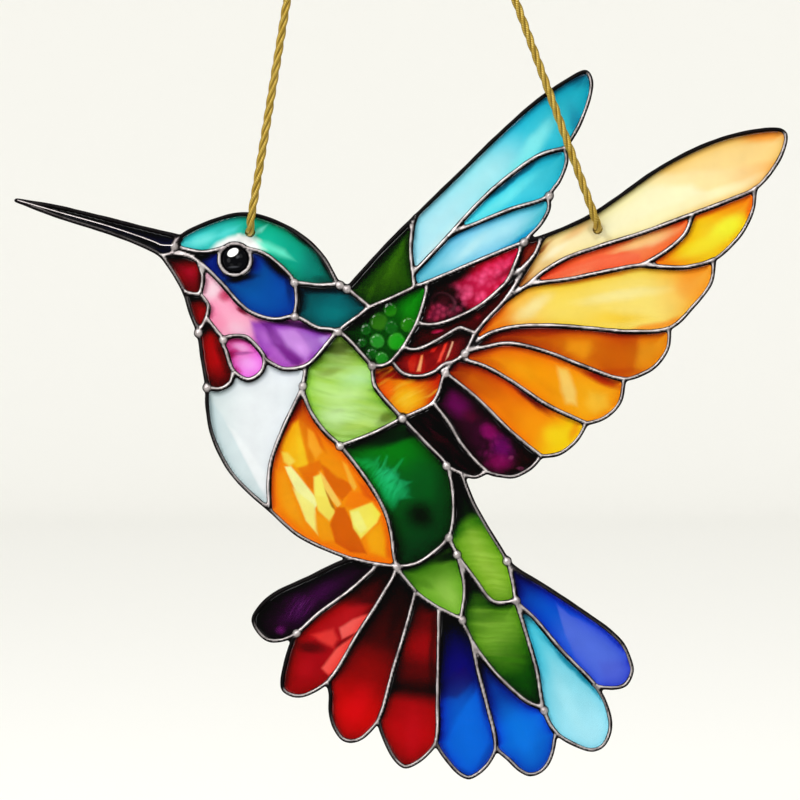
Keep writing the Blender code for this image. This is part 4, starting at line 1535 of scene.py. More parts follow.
        Crinkle("#ff4a81", 1.4, 0.8, 0.45, Patch("#ff4a81", (88, 80), (4.7, 2.8), 25, 0.6)),
        Patch("#82042b", (86, 67), (3.6, 0.8), 30, 0.8, 0.6),
        Patch("#180000", (30, 59), (6.2, 1.8), 24, 0.6), Patch("#1f0000", (27, 41), (3.1, 1.8), 0, 0.6),
        Patch("#653443", (23, 25), (3.4, 3.1), 0, 0.14, 0.75),
        Patch("#1f0004", (23, 27), (2.8, 2.6), 0, 0.2),
        Patch("#80153c", (16, 13), (2.8, 1.8), 20, 0.7, 0.85),
        Crinkle("#b7365d", 1.3, 0.9, 0.5, Patch("#b7365d", (18, 14), (3.6, 2.1), 10, 0.6)),
        Patch("#410915", (24, 30), (1.3, 1.0), 0, 0.6, 0.8),
        relief=Relief.CRINKLED, drift=0.4,
    ),
    "red_sliver": CastAcrylic.poured(
        ((0, "#000400"), (55, "#923322"), (100, "#701b16")), (-6, -6), (119, 101),
        Patch("#b55039", (89, 70), (1.3, 0.8), 50, 0.7, 0.7),
        drift=0.3,
    ),
    "wing_base": CastAcrylic.poured(
        ((0, "#255100"), (44, "#275800"), (100, "#1a4400")), (100, 98), (18, 4),
        Patch("#366d03", (74, 58), (6.2, 1.0), 62, 0.6), Patch("#1a3d00", (100, 68), (1.3, 7.8), 5, 0.6),
        Wisps("#336802", 60, (8, 0.9), 0.35, 0.6), Patch("#163b00", (48, 53), (8.8, 0.8), 48, 0.6),
    ),
    "back_primary_1": CastAcrylic.poured(
        ((0, "#bcefff"), (18, "#bcf2ff"), (45, "#b2f4ff"), (70, "#3dd1e9"), (100, "#17b2ca")),
        (5, -2), (100, 99),
        Patch("#1b9bb5", (96, 98), (2.6, 2.1), 0, 0.6),
        Patch("#9bfdff", (67, 61), (8.8, 1.8), 52, 0.7, 0.7),
        Patch("#efffff", (21, 17), (8.8, 1.8), 44, 0.8, 0.6),
        Patch("#249fbe", (94, 73), (1.6, 6.2), 15, 0.6, 0.8),
        clear=0.8,
    ),
    "back_primary_2": CastAcrylic.poured(
        ((0, "#a6feff"), (51, "#50def6"), (100, "#37c5db")), (-34, -58), (102, 102),
        Patch("#7bf5ff", (40, 36), (10.3, 1.6), 38, 0.6, 0.8),
        Patch("#209cb6", (59, 74), (11.4, 0.8), 40, 0.6),
        Patch("#b3ffff", (-9, -28), (6.7, 1.3), 42, 0.8, 0.5),
        clear=0.8,
    ),
    "back_primary_3": CastAcrylic.poured(
        ((0, "#81d7ed"), (46, "#99dffa"), (100, "#53cee1")), (6, 10), (103, 97),
        Patch("#b1edff", (57, 57), (10.9, 2.1), 30, 0.7), Patch("#2cb5e1", (64, 86), (11.9, 0.9), 28, 0.6),
        Patch("#2cb5e1", (78, 52), (7.8, 0.9), 34, 0.6),
        Patch("#d3f9ff", (41, 41), (5.2, 1.0), 40, 0.8, 0.4),
        clear=0.8,
    ),
    "cream": CastAcrylic.poured(
        (
            (0, "#894627"), (4, "#d09758"), (11, "#f0d296"), (23, "#faecba"), (48, "#f8efc3"),
            (70, "#fce3a7"), (100, "#f4b962"),
        ), (0, 2), (101, 99),
        Patch("#be7b46", (10, 25), (3.6, 0.4), 42, 0.7, 0.7),
        Patch("#fcf4d1", (15, 25), (3.6, 0.8), 36, 0.8, 0.7),
        Patch("#efc085", (23, 38), (3.6, 1.0), 32, 0.8, 0.6),
        Facet("#f7da92", (
            (51, 73), (63, 85), (77, 94), (88, 100), (100, 101), (101, 97), (99, 83), (81, 75), (68, 72),
            (57, 74),
        ), 1.2, 0.8),
        Facet("#faf5cd", (
            (32, 52), (50, 70), (57, 73), (66, 66), (81, 66), (77, 60), (55, 47), (37, 33), (32, 31),
        ), 1.4, 0.85),
        Patch("#f6b962", (93, 97), (5.2, 1.6), 8, 0.6), Patch("#faf1c3", (66, 56), (15.5, 1.3), 20, 0.6),
        Patch("#f4c77e", (47, 75), (12.9, 0.8), 32, 0.6, 0.6),
        clear=0.5, drift=0.5,
    ),
    "coral": CastAcrylic.poured(
        ((0, "#f76f39"), (39, "#ff8f60"), (100, "#ff8748")), (2, 5), (102, 95),
        Patch("#ffd59b", (72, 65), (7.8, 1.6), 22, 0.6), Patch("#ff7446", (48, 33), (6.2, 0.8), 18),
        Facet("#ff7b57", ((3, 12), (17, 25), (43, 41), (69, 43), (69, 33), (34, 14), (5, 2)), 0.5, 0.8),
        Patch("#ffc296", (23, 9), (5.2, 1.0), 20, 0.8, 0.5),
        Patch("#e46535", (75, 85), (10.3, 0.8), 22, 0.6, 0.8),
        clear=0.8,
    ),
    "yellow": CastAcrylic.poured(
        ((0, "#ff931d"), (44, "#ffd927"), (100, "#ffa11d")), (4, 2), (101, 95),
        Patch("#ffa11d", (55, 73), (6.7, 1.3), 22, 0.6), Patch("#fffb3a", (74, 48), (5.2, 2.3), 38, 0.6),
        Patch("#ffec31", (50, 27), (6.7, 1.6), 18, 0.6, 0.8),
        Patch("#ff8e1d", (97, 79), (1.0, 3.6), -10, 0.6),
    ),
    "golden": CastAcrylic.poured(
        (
            (0, "#e3760e"), (10, "#f89926"), (20, "#ffd16a"), (37, "#ffe367"), (71, "#ffe77b"),
            (100, "#ffb742"),
        ), (2, 7), (98, 86),
        Patch("#ffeea9", (25, 44), (4.9, 1.6), 36, 0.7, 0.85),
        Patch("#ffa22c", (39, 79), (15.5, 0.9), 8, 0.8, 0.8),
        Patch("#ffd637", (58, 31), (7.8, 1.3), -3, 0.8, 0.8),
        Patch("#fff2a7", (62, 58), (9.3, 1.3), 8, 0.8, 0.8),
        Patch("#ffe772", (40, 33), (7.8, 1.6), 0, 0.8, 0.6),
        Patch("#ffaa3a", (91, 72), (3.1, 3.1), 0, 0.8, 0.7),
        Patch("#fd9b1b", (78, 20), (11.9, 0.9), 14, 0.8, 0.7),
        clear=0.85, drift=0.5,
    ),
    "amber": CastAcrylic.poured(
        (
            (0, "#520e00"), (14, "#9f3600"), (38, "#ce6000"), (60, "#e88704"), (80, "#d96d00"),
            (100, "#f3a21b"),
        ), (2, 74), (94, 55),
        Facet("#f8a213", ((50, 76), (61, 74), (66, 53), (58, 38), (48, 51)), 1.3, 0.75),
        Facet("#d36200", ((62, 70), (86, 80), (84, 5), (68, 14), (59, 38)), 1.6, 0.8),
        Facet("#ee9716", ((86, 84), (98, 88), (94, 38), (84, 9)), 1.3, 0.8),
        Patch("#b94800", (29, 88), (7.8, 0.8), 4, 0.8, 0.7),
        Patch("#c94d00", (77, 11), (4.1, 0.8), 0, 0.8, 0.6),
        Patch("#e37700", (37, 47), (5.7, 1.3), -12, 0.8, 0.6),
        drift=0.5,
    ),
    "orange": CastAcrylic.poured(
        ((0, "#cd6000"), (19, "#f49104"), (46, "#fea100"), (81, "#ffb314"), (100, "#f9a611")),
        (5, 89), (97, 17),
        Facet("#ffd771", ((57, 73), (66, 68), (71, 39), (71, 20), (63, 23), (61, 47)), 0.9, 0.9),
        Facet("#ffca3d", ((80, 39), (90, 36), (93, 17), (83, 9), (78, 23)), 1.4, 0.7),
        Patch("#c83e00", (87, 56), (5.2, 1.0), -24, 0.7, 0.9),
        Patch("#ffab09", (37, 65), (4.1, 1.6), -25, 0.8, 0.7),
        Patch("#dc7000", (17, 79), (3.1, 1.0), -25, 0.8, 0.6),
        Patch("#f49400", (52, 47), (4.1, 1.0), -38, 0.8, 0.5),
        drift=0.5,
    ),
    "rust": CastAcrylic.poured(
        ((0, "#a93f01"), (16, "#d36501"), (44, "#f38200"), (72, "#ff9f04"), (100, "#ffdf19")),
        (5, 93), (89, 11),
        Patch("#8e1a04", (59, 63), (6.2, 1.0), -42, 0.7, 0.9),
        Patch("#ffdc16", (80, 18), (3.1, 2.3), -30, 0.7, 0.85),
        Patch("#ff9c00", (38, 44), (6.2, 1.0), -44, 0.8, 0.7),
        Patch("#d96200", (32, 72), (3.6, 1.6), -42, 0.8, 0.6),
        Patch("#f98f09", (94, 24), (1.0, 2.1), -20, 0.8, 0.6),
        Patch("#b34704", (10, 87), (1.6, 1.3), -30, 0.8, 0.6),
        drift=0.5,
    ),
    "plum": CastAcrylic.poured(
        ((0, "#160004"), (34, "#2f001c"), (68, "#2c001c"), (100, "#1d0000")), (9, 92), (93, 13),
        Patch("#690054", (21, 73), (3.4, 2.8), -30, 0.7, 0.95),
        Patch("#56002b", (34, 61), (2.1, 1.3), -20, 0.7, 0.7),
        Patch("#870061", (53, 44), (2.3, 1.8), -30, 0.6, 0.95),
        Patch("#6e0063", (66, 28), (2.3, 3.1), 10, 0.7, 0.9),
        Patch("#820054", (63, 12), (2.8, 1.8), -10, 0.7, 0.9),
        Crinkle("#9d1674", 1.7, 0.35, 0.4, Patch("#9d1674", (59, 27), (4.1, 5.7), 15, 0.6)),
        Patch("#893663", (74, 16), (0.6, 0.4), 20, 0.5, 0.7),
        Patch("#7b365c", (83, 6), (0.8, 0.4), 0, 0.5, 0.7),
        Patch("#110000", (75, 52), (7.2, 1.0), -40, 0.7, 0.9),
        relief=Relief.BUBBLED, drift=0.5,
    ),
    "aubergine": CastAcrylic.poured(
        ((0, "#000000"), (49, "#000000"), (100, "#000000")), (11, 73), (96, 7),
        Wisps("#3a0018", -42, (6, 0.8), 0.35, 0.6), Patch("#260009", (44, 51), (2.6, 0.8), -40, 0.6),
        relief=Relief.BUBBLED,
    ),
    # Painted shade: the shades start black at the top, and a near-black patch darkens the upper part.
    "covert_long": CastAcrylic.poured(
        (
            (0, "#000000"), (20, "#001f00"), (30, "#4c8e14"), (41, "#84b931"), (78, "#92c338"),
            (100, "#7dad31"),
        ), (7, 85), (92, -1),
        Patch("#9fc844", (50, 34), (6.2, 1.3), -64, 0.8, 0.5),
        Wisps("#b2db5c", -4, (7, 0.7), 0.42, 0.4, Patch("#b2db5c", (56, 30), (9.3, 5.7), -64, 0.6)),
        Patch("#000b00", (44, 71), (3.6, 1.3), -50, 0.6, 0.8),
    ),
    "covert_short": CastAcrylic.poured(
        ((0, "#001e00"), (26, "#58921f"), (60, "#85bf3e"), (100, "#93ca4c")), (50, 89), (93, 0),
        Patch("#a7d560", (80, 27), (3.6, 2.1), -50, 0.8, 0.5),
        Patch("#062700", (80, 81), (4.1, 1.3), 20, 0.6),
        Patch("#558f1c", (30, 48), (3.6, 1.0), -35, 0.6, 0.7),
    ),
    "covert_point": CastAcrylic.poured(
        (
            (0, "#002000"), (17, "#477c17"), (38, "#70a62b"), (61, "#397a08"), (79, "#0b4e00"),
            (100, "#003300"),
        ), (9, 84), (91, 2),
        Wisps("#8fc041", -3, (8, 0.7), 0.46, 0.5, Patch("#8fc041", (37, 52), (7.2, 8.8), 0, 0.6)),
        Wisps("#034100", -3, (8, 0.7), 0.5, 0.55, Patch("#034100", (63, 27), (6.2, 6.2), 0, 0.6)),
        Patch("#145000", (19, 76), (2.6, 1.3), -30, 0.8, 0.6),
        drift=0.4,
    ),
    "tail_1": CastAcrylic.poured(
        ((0, "#190016"), (41, "#280029"), (67, "#260025"), (100, "#150013")), (101, 92), (5, 8),
        Patch("#3b023f", (56, 60), (4.1, 1.6), 32, 0.8, 0.8),
        Patch("#37003c", (34, 34), (4.1, 2.1), 32, 0.8, 0.7),
        Facet("#460b4e", ((34, 55), (39, 58), (42, 34), (37, 18), (33, 29)), 1.2, 0.5),
        Patch("#711470", (20, 10), (1.0, 0.8), 0, 0.9, 0.7),
        Wisps("#712077", 60, (4, 0.4), 0.34, 0.5, Patch("#712077", (37, 39), (3.6, 3.1), 0, 0.6)),
        Patch("#10000d", (16, 34), (3.6, 1.3), 40, 0.8, 0.6),
        drift=0.4,
    ),
    "tail_2": CastAcrylic.poured(
        ((0, "#160000"), (22, "#500004"), (41, "#b50515"), (74, "#a7000e"), (100, "#a20009")),
        (95, 94), (9, 4),
        Facet("#bf121a", ((19, 50), (55, 69), (79, 69), (69, 59), (46, 50), (23, 40)), 1.2, 0.8),
        Facet("#ef3d39", ((19, 44), (44, 51), (49, 43), (43, 34), (34, 40)), 0.8, 0.85),
        Facet("#ff6963", ((50, 52), (63, 59), (78, 63), (69, 48), (53, 43)), 0.5, 0.92),
        Facet("#fe6159", ((67, 48), (61, 31), (41, 14), (34, 20), (48, 36)), 0.5, 0.92),
        Facet("#76000b", ((49, 40), (66, 48), (62, 44), (47, 35)), 0.4, 0.7),
        Patch("#4d0002", (25, 36), (3.4, 1.3), -5, 0.7, 0.85),
        Patch("#bf0818", (17, 20), (2.6, 2.1), 0, 0.8, 0.6),
        drift=0.3,
    ),
    "tail_3": CastAcrylic.poured(
        ((0, "#070000"), (37, "#430000"), (58, "#8f0000"), (84, "#cf0000"), (100, "#ac0000")),
        (94, 95), (12, 0),
        Patch("#e1000e", (29, 19), (2.6, 5.7), -30, 0.8, 0.5),
        Patch("#190000", (81, 77), (1.6, 7.8), -20, 0.6, 0.8),
    ),
    "tail_4": CastAcrylic.poured(
        (
            (0, "#080000"), (12, "#660002"), (28, "#9c0007"), (42, "#5d0002"), (53, "#200000"),
            (64, "#ad0007"), (81, "#bb0009"), (100, "#8e0005"),
        ), (81, 99), (48, -3),
        Patch("#150002", (93, 68), (0.8, 9.3), -2, 0.8, 0.6),
        Patch("#c40516", (57, 17), (1.6, 5.2), 0, 0.8, 0.5),
        drift=0.5,
    ),
    # Painted shade: the shades start black at the top.
    "tail_5": CastAcrylic.poured(
        ((0, "#000000"), (31, "#070373"), (59, "#005acf"), (100, "#0058c3")), (21, 94), (58, 1),
        Patch("#0766e2", (58, 20), (2.1, 5.2), 4, 0.8, 0.5),
        Facet("#180060", ((4, 58), (47, 66), (67, 60), (32, 47), (8, 47)), 0.9, 0.6),
        Facet("#006be5", ((12, 18), (36, 36), (65, 52), (81, 39), (95, 19), (59, 0), (28, 6)), 0.9, 0.8),
        Patch("#00004c", (80, 52), (1.0, 5.7), 12, 0.6, 0.7),
    ),
    "tail_6": CastAcrylic.poured(
        ((0, "#00022f"), (34, "#0041a6"), (63, "#0074e7"), (100, "#0063cf")), (2, 96), (73, 3),
        Patch("#000940", (52, 74), (7.8, 1.3), -48, 0.6),
        Patch("#057bee", (60, 29), (2.1, 5.2), 16, 0.8, 0.5),
    ),
    "tail_7": CastAcrylic.poured(
        ((0, "#004862"), (17, "#66d9ee"), (54, "#91e0f3"), (100, "#acebfd")), (1, 102), (82, 3),
        Patch("#b4f1ff", (56, 30), (6.7, 1.6), -60, 0.8, 0.5),
        Patch("#44b7cf", (61, 57), (10.3, 0.8), -46, 0.6),
        Patch("#61d0e7", (22, 67), (1.6, 6.2), 20, 0.6, 0.6),
        clear=0.8,
    ),
    "tail_8": CastAcrylic.poured(
        ((0, "#001073"), (34, "#0059d8"), (58, "#366ce9"), (100, "#4b59d8")), (2, 96), (101, 3),
        Patch("#033ca8", (38, 80), (10.9, 1.0), -36, 0.8, 0.5),
        Facet("#5573e9", (
            (39, 68), (74, 48), (100, 25), (100, 0), (75, -2), (56, 21), (46, 45),
        ), 0.45, 0.95),
        Facet("#5062dd", ((75, 19), (102, 21), (102, -1), (79, -4)), 1.6, 0.7),
    ),
}


@dataclass
class Pane:
    """One pane of acrylic, tucked under the solder all round.

    Attributes:
        name: The pane's name.
        outline: The closed line of solder round it, in millimetres.
        finish: Its finish.
        thickness: The sheet's thickness.
        tuck: How far its edge stays from the middle of the solder.
        voxel: The size of the grid that its face is modelled on.
    """

    name: str
    outline: np.ndarray
    finish: CastAcrylic
    thickness: float = 2.5
    tuck: float = 0.2
    voxel: float = 0.42
    # In millimetres: how far a drop stands out, and the size of the drill for the cord's hole.
    DROP_HEIGHT = 0.35
    HOLE_RADIUS = 1.3
    HOLE_DEPTH = 8.0
    # The solder's shadow: how wide it is whole and then fades, the way back to the line that throws it, how
    # dark it is on the far side of the line, and from where to where that way counts.
    SHADOW_EDGE = 0.65
    SHADOW_REACH = 1.15
    THROWN_FROM = (-0.5, 0.85)
    FAR_SIDE = 0.3
    COUNTS_FROM, COUNTS_OVER = -0.35, 1.1

    def build(self, drill: Vector | None) -> None:
        """Cuts the pane, gives its faces their relief, drills it and dresses it.

        Args:
            drill: The middle of the hole for the cord, or None.
        """
        box = Box.of(self.name)
        pane = self._cut_sheet()
        apply_modifier(pane, "REMESH", mode="VOXEL", voxel_size=self.voxel * MM, adaptivity=0.0)
        kind, size, height = self.finish.relief.value
        texture = bpy.data.textures.new(f"relief_{self.name}", kind)
        texture.noise_scale = size * MM
        apply_modifier(
            pane, "DISPLACE", texture=texture, strength=height * MM, mid_level=0.55, texture_coords="LOCAL"
        )
        self._raise_drops(pane, box)
        if drill is not None:
            self._drill(pane, drill)
        write_attribute(pane, "shade", self._shadow(pane))
        dress(pane, self.finish.material(self.name, box), CREASE)
        hand_over(pane, f"acrylic_{self.name}", self.name)

    def _cut_sheet(self) -> Piece:
        """Cuts the sheet to the field, a little inside the middle of the solder.

        Returns:
            The flat sheet.
        """
        along = np.roll(self.outline, -1, axis=0) - np.roll(self.outline, 1, axis=0)
        inward = left_of(along / np.linalg.norm(along, axis=1)[:, None])
        edge = self.outline + inward * self.tuck
        half = self.thickness * MM / 2
        sheet = stood_up(drawn(f"pane_{self.name}", [edge], closed=True, fill_mode="BOTH", extrude=half))
        weld(sheet)
        return sheet

    def _raise_drops(self, pane: Piece, box: Box) -> None:
        """Lifts the front face into a low dome at each of the finish's drops.

        Args:
            pane: The pane.
            box: The box that the drops are placed in.
        """
        places = vertices_of(pane)
        front = places[:, 1] < 0
        for mark in self.finish.marks:
            for across, up, radius in mark.places if isinstance(mark, Drops) else ():
                centre = box.at((across, up))
                reach = np.hypot(places[:, 0] - centre.x, places[:, 2] - centre.z) / (radius * MM)
                places[:, 1] -= front * np.sqrt(np.clip(1 - reach**2, 0, 1)) * self.DROP_HEIGHT * MM
        pane.data.vertices.foreach_set("co", places.astype(np.float32).ravel())

    def _drill(self, pane: Piece, middle: Vector) -> None:
        """Drills a clean round hole for the cord.

        Args:
            pane: The pane.
            middle: The middle of the hole.
        """
        size = {"radius": self.HOLE_RADIUS * MM, "depth": self.HOLE_DEPTH * MM}
        bit = primitive("cylinder", vertices=40, location=middle, rotation=(FRONT_ON, 0, 0), **size)
        apply_modifier(pane, "BOOLEAN", object=bit, operation="DIFFERENCE", solver="EXACT")
        bpy.data.objects.remove(bit)

    def _shadow(self, pane: Piece) -> np.ndarray:
        """Works out the solder's shadow, which is deepest below a line and to the right of one.

        Args:
            pane: The pane.

        Returns:
            How deep in it each vertex lies.
        """
        tree = tree_of(self.outline)
        left, over = self.THROWN_FROM
        shade = []
        for x, _, z in vertices_of(pane) / MM:
            (edge_x, edge_z, _), _, reach = tree.find((x, z, 0))
            fade = math.exp(-max(reach - self.SHADOW_EDGE, 0) / self.SHADOW_REACH)
            above = ((edge_x - x) * left + (edge_z - z) * over) / max(reach, 0.1)
            whole = min(max(above - self.COUNTS_FROM, 0) / self.COUNTS_OVER, 1)
            shade.append(fade * (self.FAR_SIDE + (1 - self.FAR_SIDE) * whole))
        return np.array(shade)


@dataclass(frozen=True)
class GlossEnamel:
    """Black glass enamel, domed and fired, with a catchlight painted on it.

    The eye sees a deep black bead with sharp reflections, a painted white glint high on the left, a small
    painted grey glint to its lower right and a faint painted grey reflection in an arc low down.
    """

    black: str = "#040405"
    speckle: str = "#0b0b0f"
    # Painted light, not the enamel's own colour: a white glint high on the left, a small grey glint beside it
    # and a faint grey reflection low down.
    painted_catchlight: Patch = Patch("#f8f8f6", (43.5, 75), (1.5, 1.0), 30, 0.12)
    painted_side_glint: Patch = Patch("#5c5d63", (62, 58), (0.45, 0.35), 28, 0.6, 0.35)
    painted_low_reflection: Patch = Patch("#45464c", (46, 20), (1.2, 0.24), 4, 0.6, 0.6)
    speck_mm: float = 0.9

    def material(self, box: Box) -> Material:
        """Makes the material.

        Args:
            box: The box of the dome, which the painted glints and reflection are placed in.

        Returns:
            The material.
        """
        made, add, shader = new_material("black_gloss_enamel")
        place = add("TexCoord", out="Object")
        speck = add("TexNoise", {"Vector": place, "Scale": METRE / self.speck_mm, "Detail": 3.0})
        black = add("Mix", {0: speck, BELOW: linear(self.black), ABOVE: linear(self.speckle)}, **MIXED)
        colour = Ground(add, place, box).painted(black, (self.painted_catchlight, self.painted_side_glint, self.painted_low_reflection))
        rough = add("MapRange", {"Value": speck, "To Min": 0.04, "To Max": 0.1})
        feed(shader, {"Base Color": colour, "Roughness": rough, "Specular IOR Level": 0.14})
        return made


@dataclass
class Eye:
    """The black dome of the eye, which fills its round of solder.

    Attributes:
        tuck: How far it reaches under the solder, in millimetres.
        back_share: The height of its back, as a share of its front's.
    """

    tuck: float = 0.25
    back_share: float = 0.5

    def build(self) -> None:
        """Shapes the dome, flattens its back and dresses it."""
        box = Box.of("eye")
        place, turn = box.at((50, 50)), (FRONT_ON, 0, 0)
        dome = primitive("uv_sphere", segments=64, ring_count=40, radius=1, location=place, rotation=turn)
        dome.name = "eye_dome"
        radius = box.reach.x + self.tuck * MM
        dome.scale = (radius, radius, abs(box.low.y))
        settle(dome)
        with editing(dome):
            bpy.ops.mesh.bisect(plane_co=(0, 0, 0), plane_no=(0, 1, 0), use_fill=False)
        with editing(dome, vertices_of(dome)[:, 1] > 0):
            bpy.ops.transform.resize(value=(1, self.back_share, 1), center_override=(0, 0, 0))
        dress(dome, GlossEnamel().material(box))
        hand_over(dome, "acrylic_eye", "eye")


# ---- gold cord, knots and ring


@dataclass(frozen=True)
class GoldThread:
    """Metallised polyester thread, twisted into yarns and the yarns into a cord.

    The eye sees antique gold yarns with fine slanting threads that glint, their glints partly painted paler
    into the colour, and grooves between the yarns painted dark brown as shade.
    """

    gold: str = "#b08a1e"
    painted_thread_glint: str = "#e3c96a"
    groove: str = "#3c2a06"
    thread_mm: float = 0.42
    patina_mm: float = 1.8
    # The bands of a wave texture of scale 1 lie this far apart.
    WAVE = 0.314
    # How the threads slant across a yarn, in radians, and how often they run along it as it turns.
    SLANT = 0.6
    ROUND = 3.2

    def material(self) -> Material:
        """Makes the material, which reads the UV map, in millimetres along v, and the attribute of painted
        groove shade.

        Returns:
            The material.
        """
        made, add, shader = new_material("metallised_gold_thread")
        turned = {"Vector": add("UVMap"), "Rotation": (0, 0, self.SLANT), "Scale": (self.ROUND, 1, 1)}
        slant = add("Mapping", turned)
        bands = {"Vector": slant, "Scale": self.WAVE / self.thread_mm, "Distortion": 1.2, "Detail": 2.0}
        threads = add("TexWave", {**bands, "Detail Scale": 2.0}, out="Fac", bands_direction="Y")
        place = add("TexCoord", out="Object")
        patina = add("TexNoise", {"Vector": place, "Scale": METRE / self.patina_mm, "Detail": 3.0})
        shine = add("Math", {0: threads, 1: patina}, operation="MULTIPLY")
        bright = add("MapRange", {"Value": shine, "From Min": 0.18, "From Max": 0.5})
        # Painted glints: along the threads' bands the gold is mixed paler.
        gold = add("Mix", {0: bright, BELOW: linear(self.gold), ABOVE: linear(self.painted_thread_glint)}, **MIXED)
        # Painted shade: the grooves between the yarns are darkened.
        groove = add("Attribute", out="Fac", attribute_name="groove")
        colour = add("Mix", {0: groove, BELOW: gold, ABOVE: linear(self.groove)}, **MIXED)
        rough = add("MapRange", {"Value": threads, "To Min": 0.5, "To Max": 0.3})
        bump = add("Bump", {"Height": threads, "Strength": 0.6, "Distance": 0.08 * MM})
        feed(shader, {"Base Color": colour, "Roughness": rough, "Normal": bump, "Metallic": 0.55})
        return made


@dataclass
class ThreeStrandRope:
    """A cord laid from three yarns with a Z twist, along any path.

    Attributes:
        diameter: Its diameter in metres.
        pitch: The length of one whole turn of a yarn.
        sides: The corners of a yarn's section.
    """

    diameter: float = 0.002
    pitch: float = 0.0117
    sides: int = 12
    STRANDS = 3
    # A yarn's radius and how far its middle lies from the cord's, as shares of the cord's diameter.
    YARN = 0.285
    OFFSET = 0.265
    # Where the painted groove shade is whole and where it is gone, as shares of the cord's radius from its
    # middle.
    GROOVE_SHADE = (0.42, 0.86)

    def lay(self, name: str, path: np.ndarray) -> Piece:
        """Lays the yarns round a path.

        Args:
            name: The cord's name.
            path: The points that it follows, in metres.

        Returns:
            The cord, with a UV map and the attribute of painted shade in its grooves.
        """
        along = headings(path)
        side = self._carried_side(along)
        over = np.cross(along, side)
        far = travelled(path)
        around = np.linspace(0, 2 * math.pi, self.sides, endpoint=False)
        rings = []
        for strand in range(self.STRANDS):
            turn = 2 * math.pi * (far / self.pitch + strand / self.STRANDS)
            away = np.cos(turn)[:, None] * side + np.sin(turn)[:, None] * over
            middle = path + self.diameter * self.OFFSET * away
            angles = turn[:, None] + around[None, :]
            spread = np.cos(angles)[..., None] * side[:, None] + np.sin(angles)[..., None] * over[:, None]
            rings.append(middle[:, None] + self.diameter * self.YARN * spread)
        return self._mesh(name, np.stack(rings), path)

    @staticmethod
    def _carried_side(along: np.ndarray) -> np.ndarray:
        """Carries a direction that is square to the path along it without twisting.

        Args:
            along: The way that the path runs at each of its points.

        Returns:
            The direction at each of them.
        """
        side = np.cross(along[0], (0.0, 1.0, 0.3))
        carried = []
        for way in along:
            side = side - way * (side @ way)
            side = side / np.linalg.norm(side)
            carried.append(side)
        return np.array(carried)

    def _mesh(self, name: str, rings: np.ndarray, path: np.ndarray) -> Piece:
        """Closes the yarns' rings into tubes with capped ends.

        Args:
            name: The cord's name.
            rings: The corners of every yarn's section at every point of the path.
            path: The path, in metres.

        Returns:
            The cord.
        """
        strands, length, sides, _ = rings.shape
        faces, marks = [], []
        for strand in range(strands):
            first = strand * length * sides
            for i in range(length - 1):
                for j in range(sides):
                    a, b = first + i * sides + j, first + i * sides + (j + 1) % sides
                    faces.append((a, b, b + sides, a + sides))
                    marks.append([(j, i), (j + 1, i), (j + 1, i + 1), (j, i + 1)])
            for end, row in ((0, range(sides - 1, -1, -1)), (length - 1, range(sides))):
                faces.append([first + end * sides + j for j in row])
                marks.append([(j, end) for j in row])
        mesh = bpy.data.meshes.new(name)
        mesh.from_pydata(rings.reshape(-1, 3).tolist(), [], faces)
        far = travelled(path) / MM
        threads = [value for face in marks for j, i in face for value in (j / sides, far[i])]
        mesh.uv_layers.new(name="thread").data.foreach_set("uv", threads)
        cord = new_object(name, mesh)
        # Painted shade: a yarn darkens where it lies near the cord's middle, in the grooves between the
        # yarns.
        reach = np.linalg.norm(rings - path[None, :, None], axis=3).reshape(-1) / (self.diameter / 2)
        write_attribute(cord, "groove", 1 - smooth_step(reach, *self.GROOVE_SHADE))
        return cord


@dataclass
class CordLeg:
    """One leg of the hanging cord, from its stopper knot through its hole and up to the hanging knot.

    Attributes:
        side: Which leg it is.
        route: The points that it runs through, in metres.
        length: Its real length; not used.
        knots: The pieces on it.
    """

    side: str
    route: tuple[tuple[float, float, float], ...]
    length: float
    knots: tuple[str, ...]
    STEP = 0.0005

    def build(self, rope: ThreeStrandRope, finish: Material) -> None:
        """Args:
            rope: The cord.
            finish: Its finish.
        """
        path = smooth_line(np.array(self.route), self.STEP)
        leg = rope.lay(f"cord_leg_{self.side}", path)
        dress(leg, finish)
        hand_over(leg, "gold_cord", f"cord_{self.side}")
        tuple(path[0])
        [bpy.data.objects[knot] for knot in self.knots]


CORD_LEGS = (
    CordLeg(
        "left",
        (
            (-0.0288, 0.0012, -0.1828), (-0.0288, -0.0014, -0.1828), (-0.0287, -0.0034, -0.1823),
            (-0.0285, -0.0048, -0.1809), (-0.0282, -0.0054, -0.1788), (-0.0269, -0.0052, -0.1710),
            (-0.0152, -0.0029, -0.0990), (-0.0027, -0.0004, -0.0216),
        ),
        0.1683,
        ("stopper_left", "knot_on_ring", "jump_ring"),
    ),
    CordLeg(
        "right",
        (
            (0.0609, 0.0012, -0.1820), (0.0609, -0.0014, -0.1820), (0.0607, -0.0034, -0.1815),
            (0.0602, -0.0048, -0.1801), (0.0595, -0.0054, -0.1782), (0.0568, -0.0052, -0.1707),
            (0.0300, -0.0028, -0.0969), (0.0027, -0.0004, -0.0216),
        ),
        0.1755,
        ("stopper_right",),
    ),
)


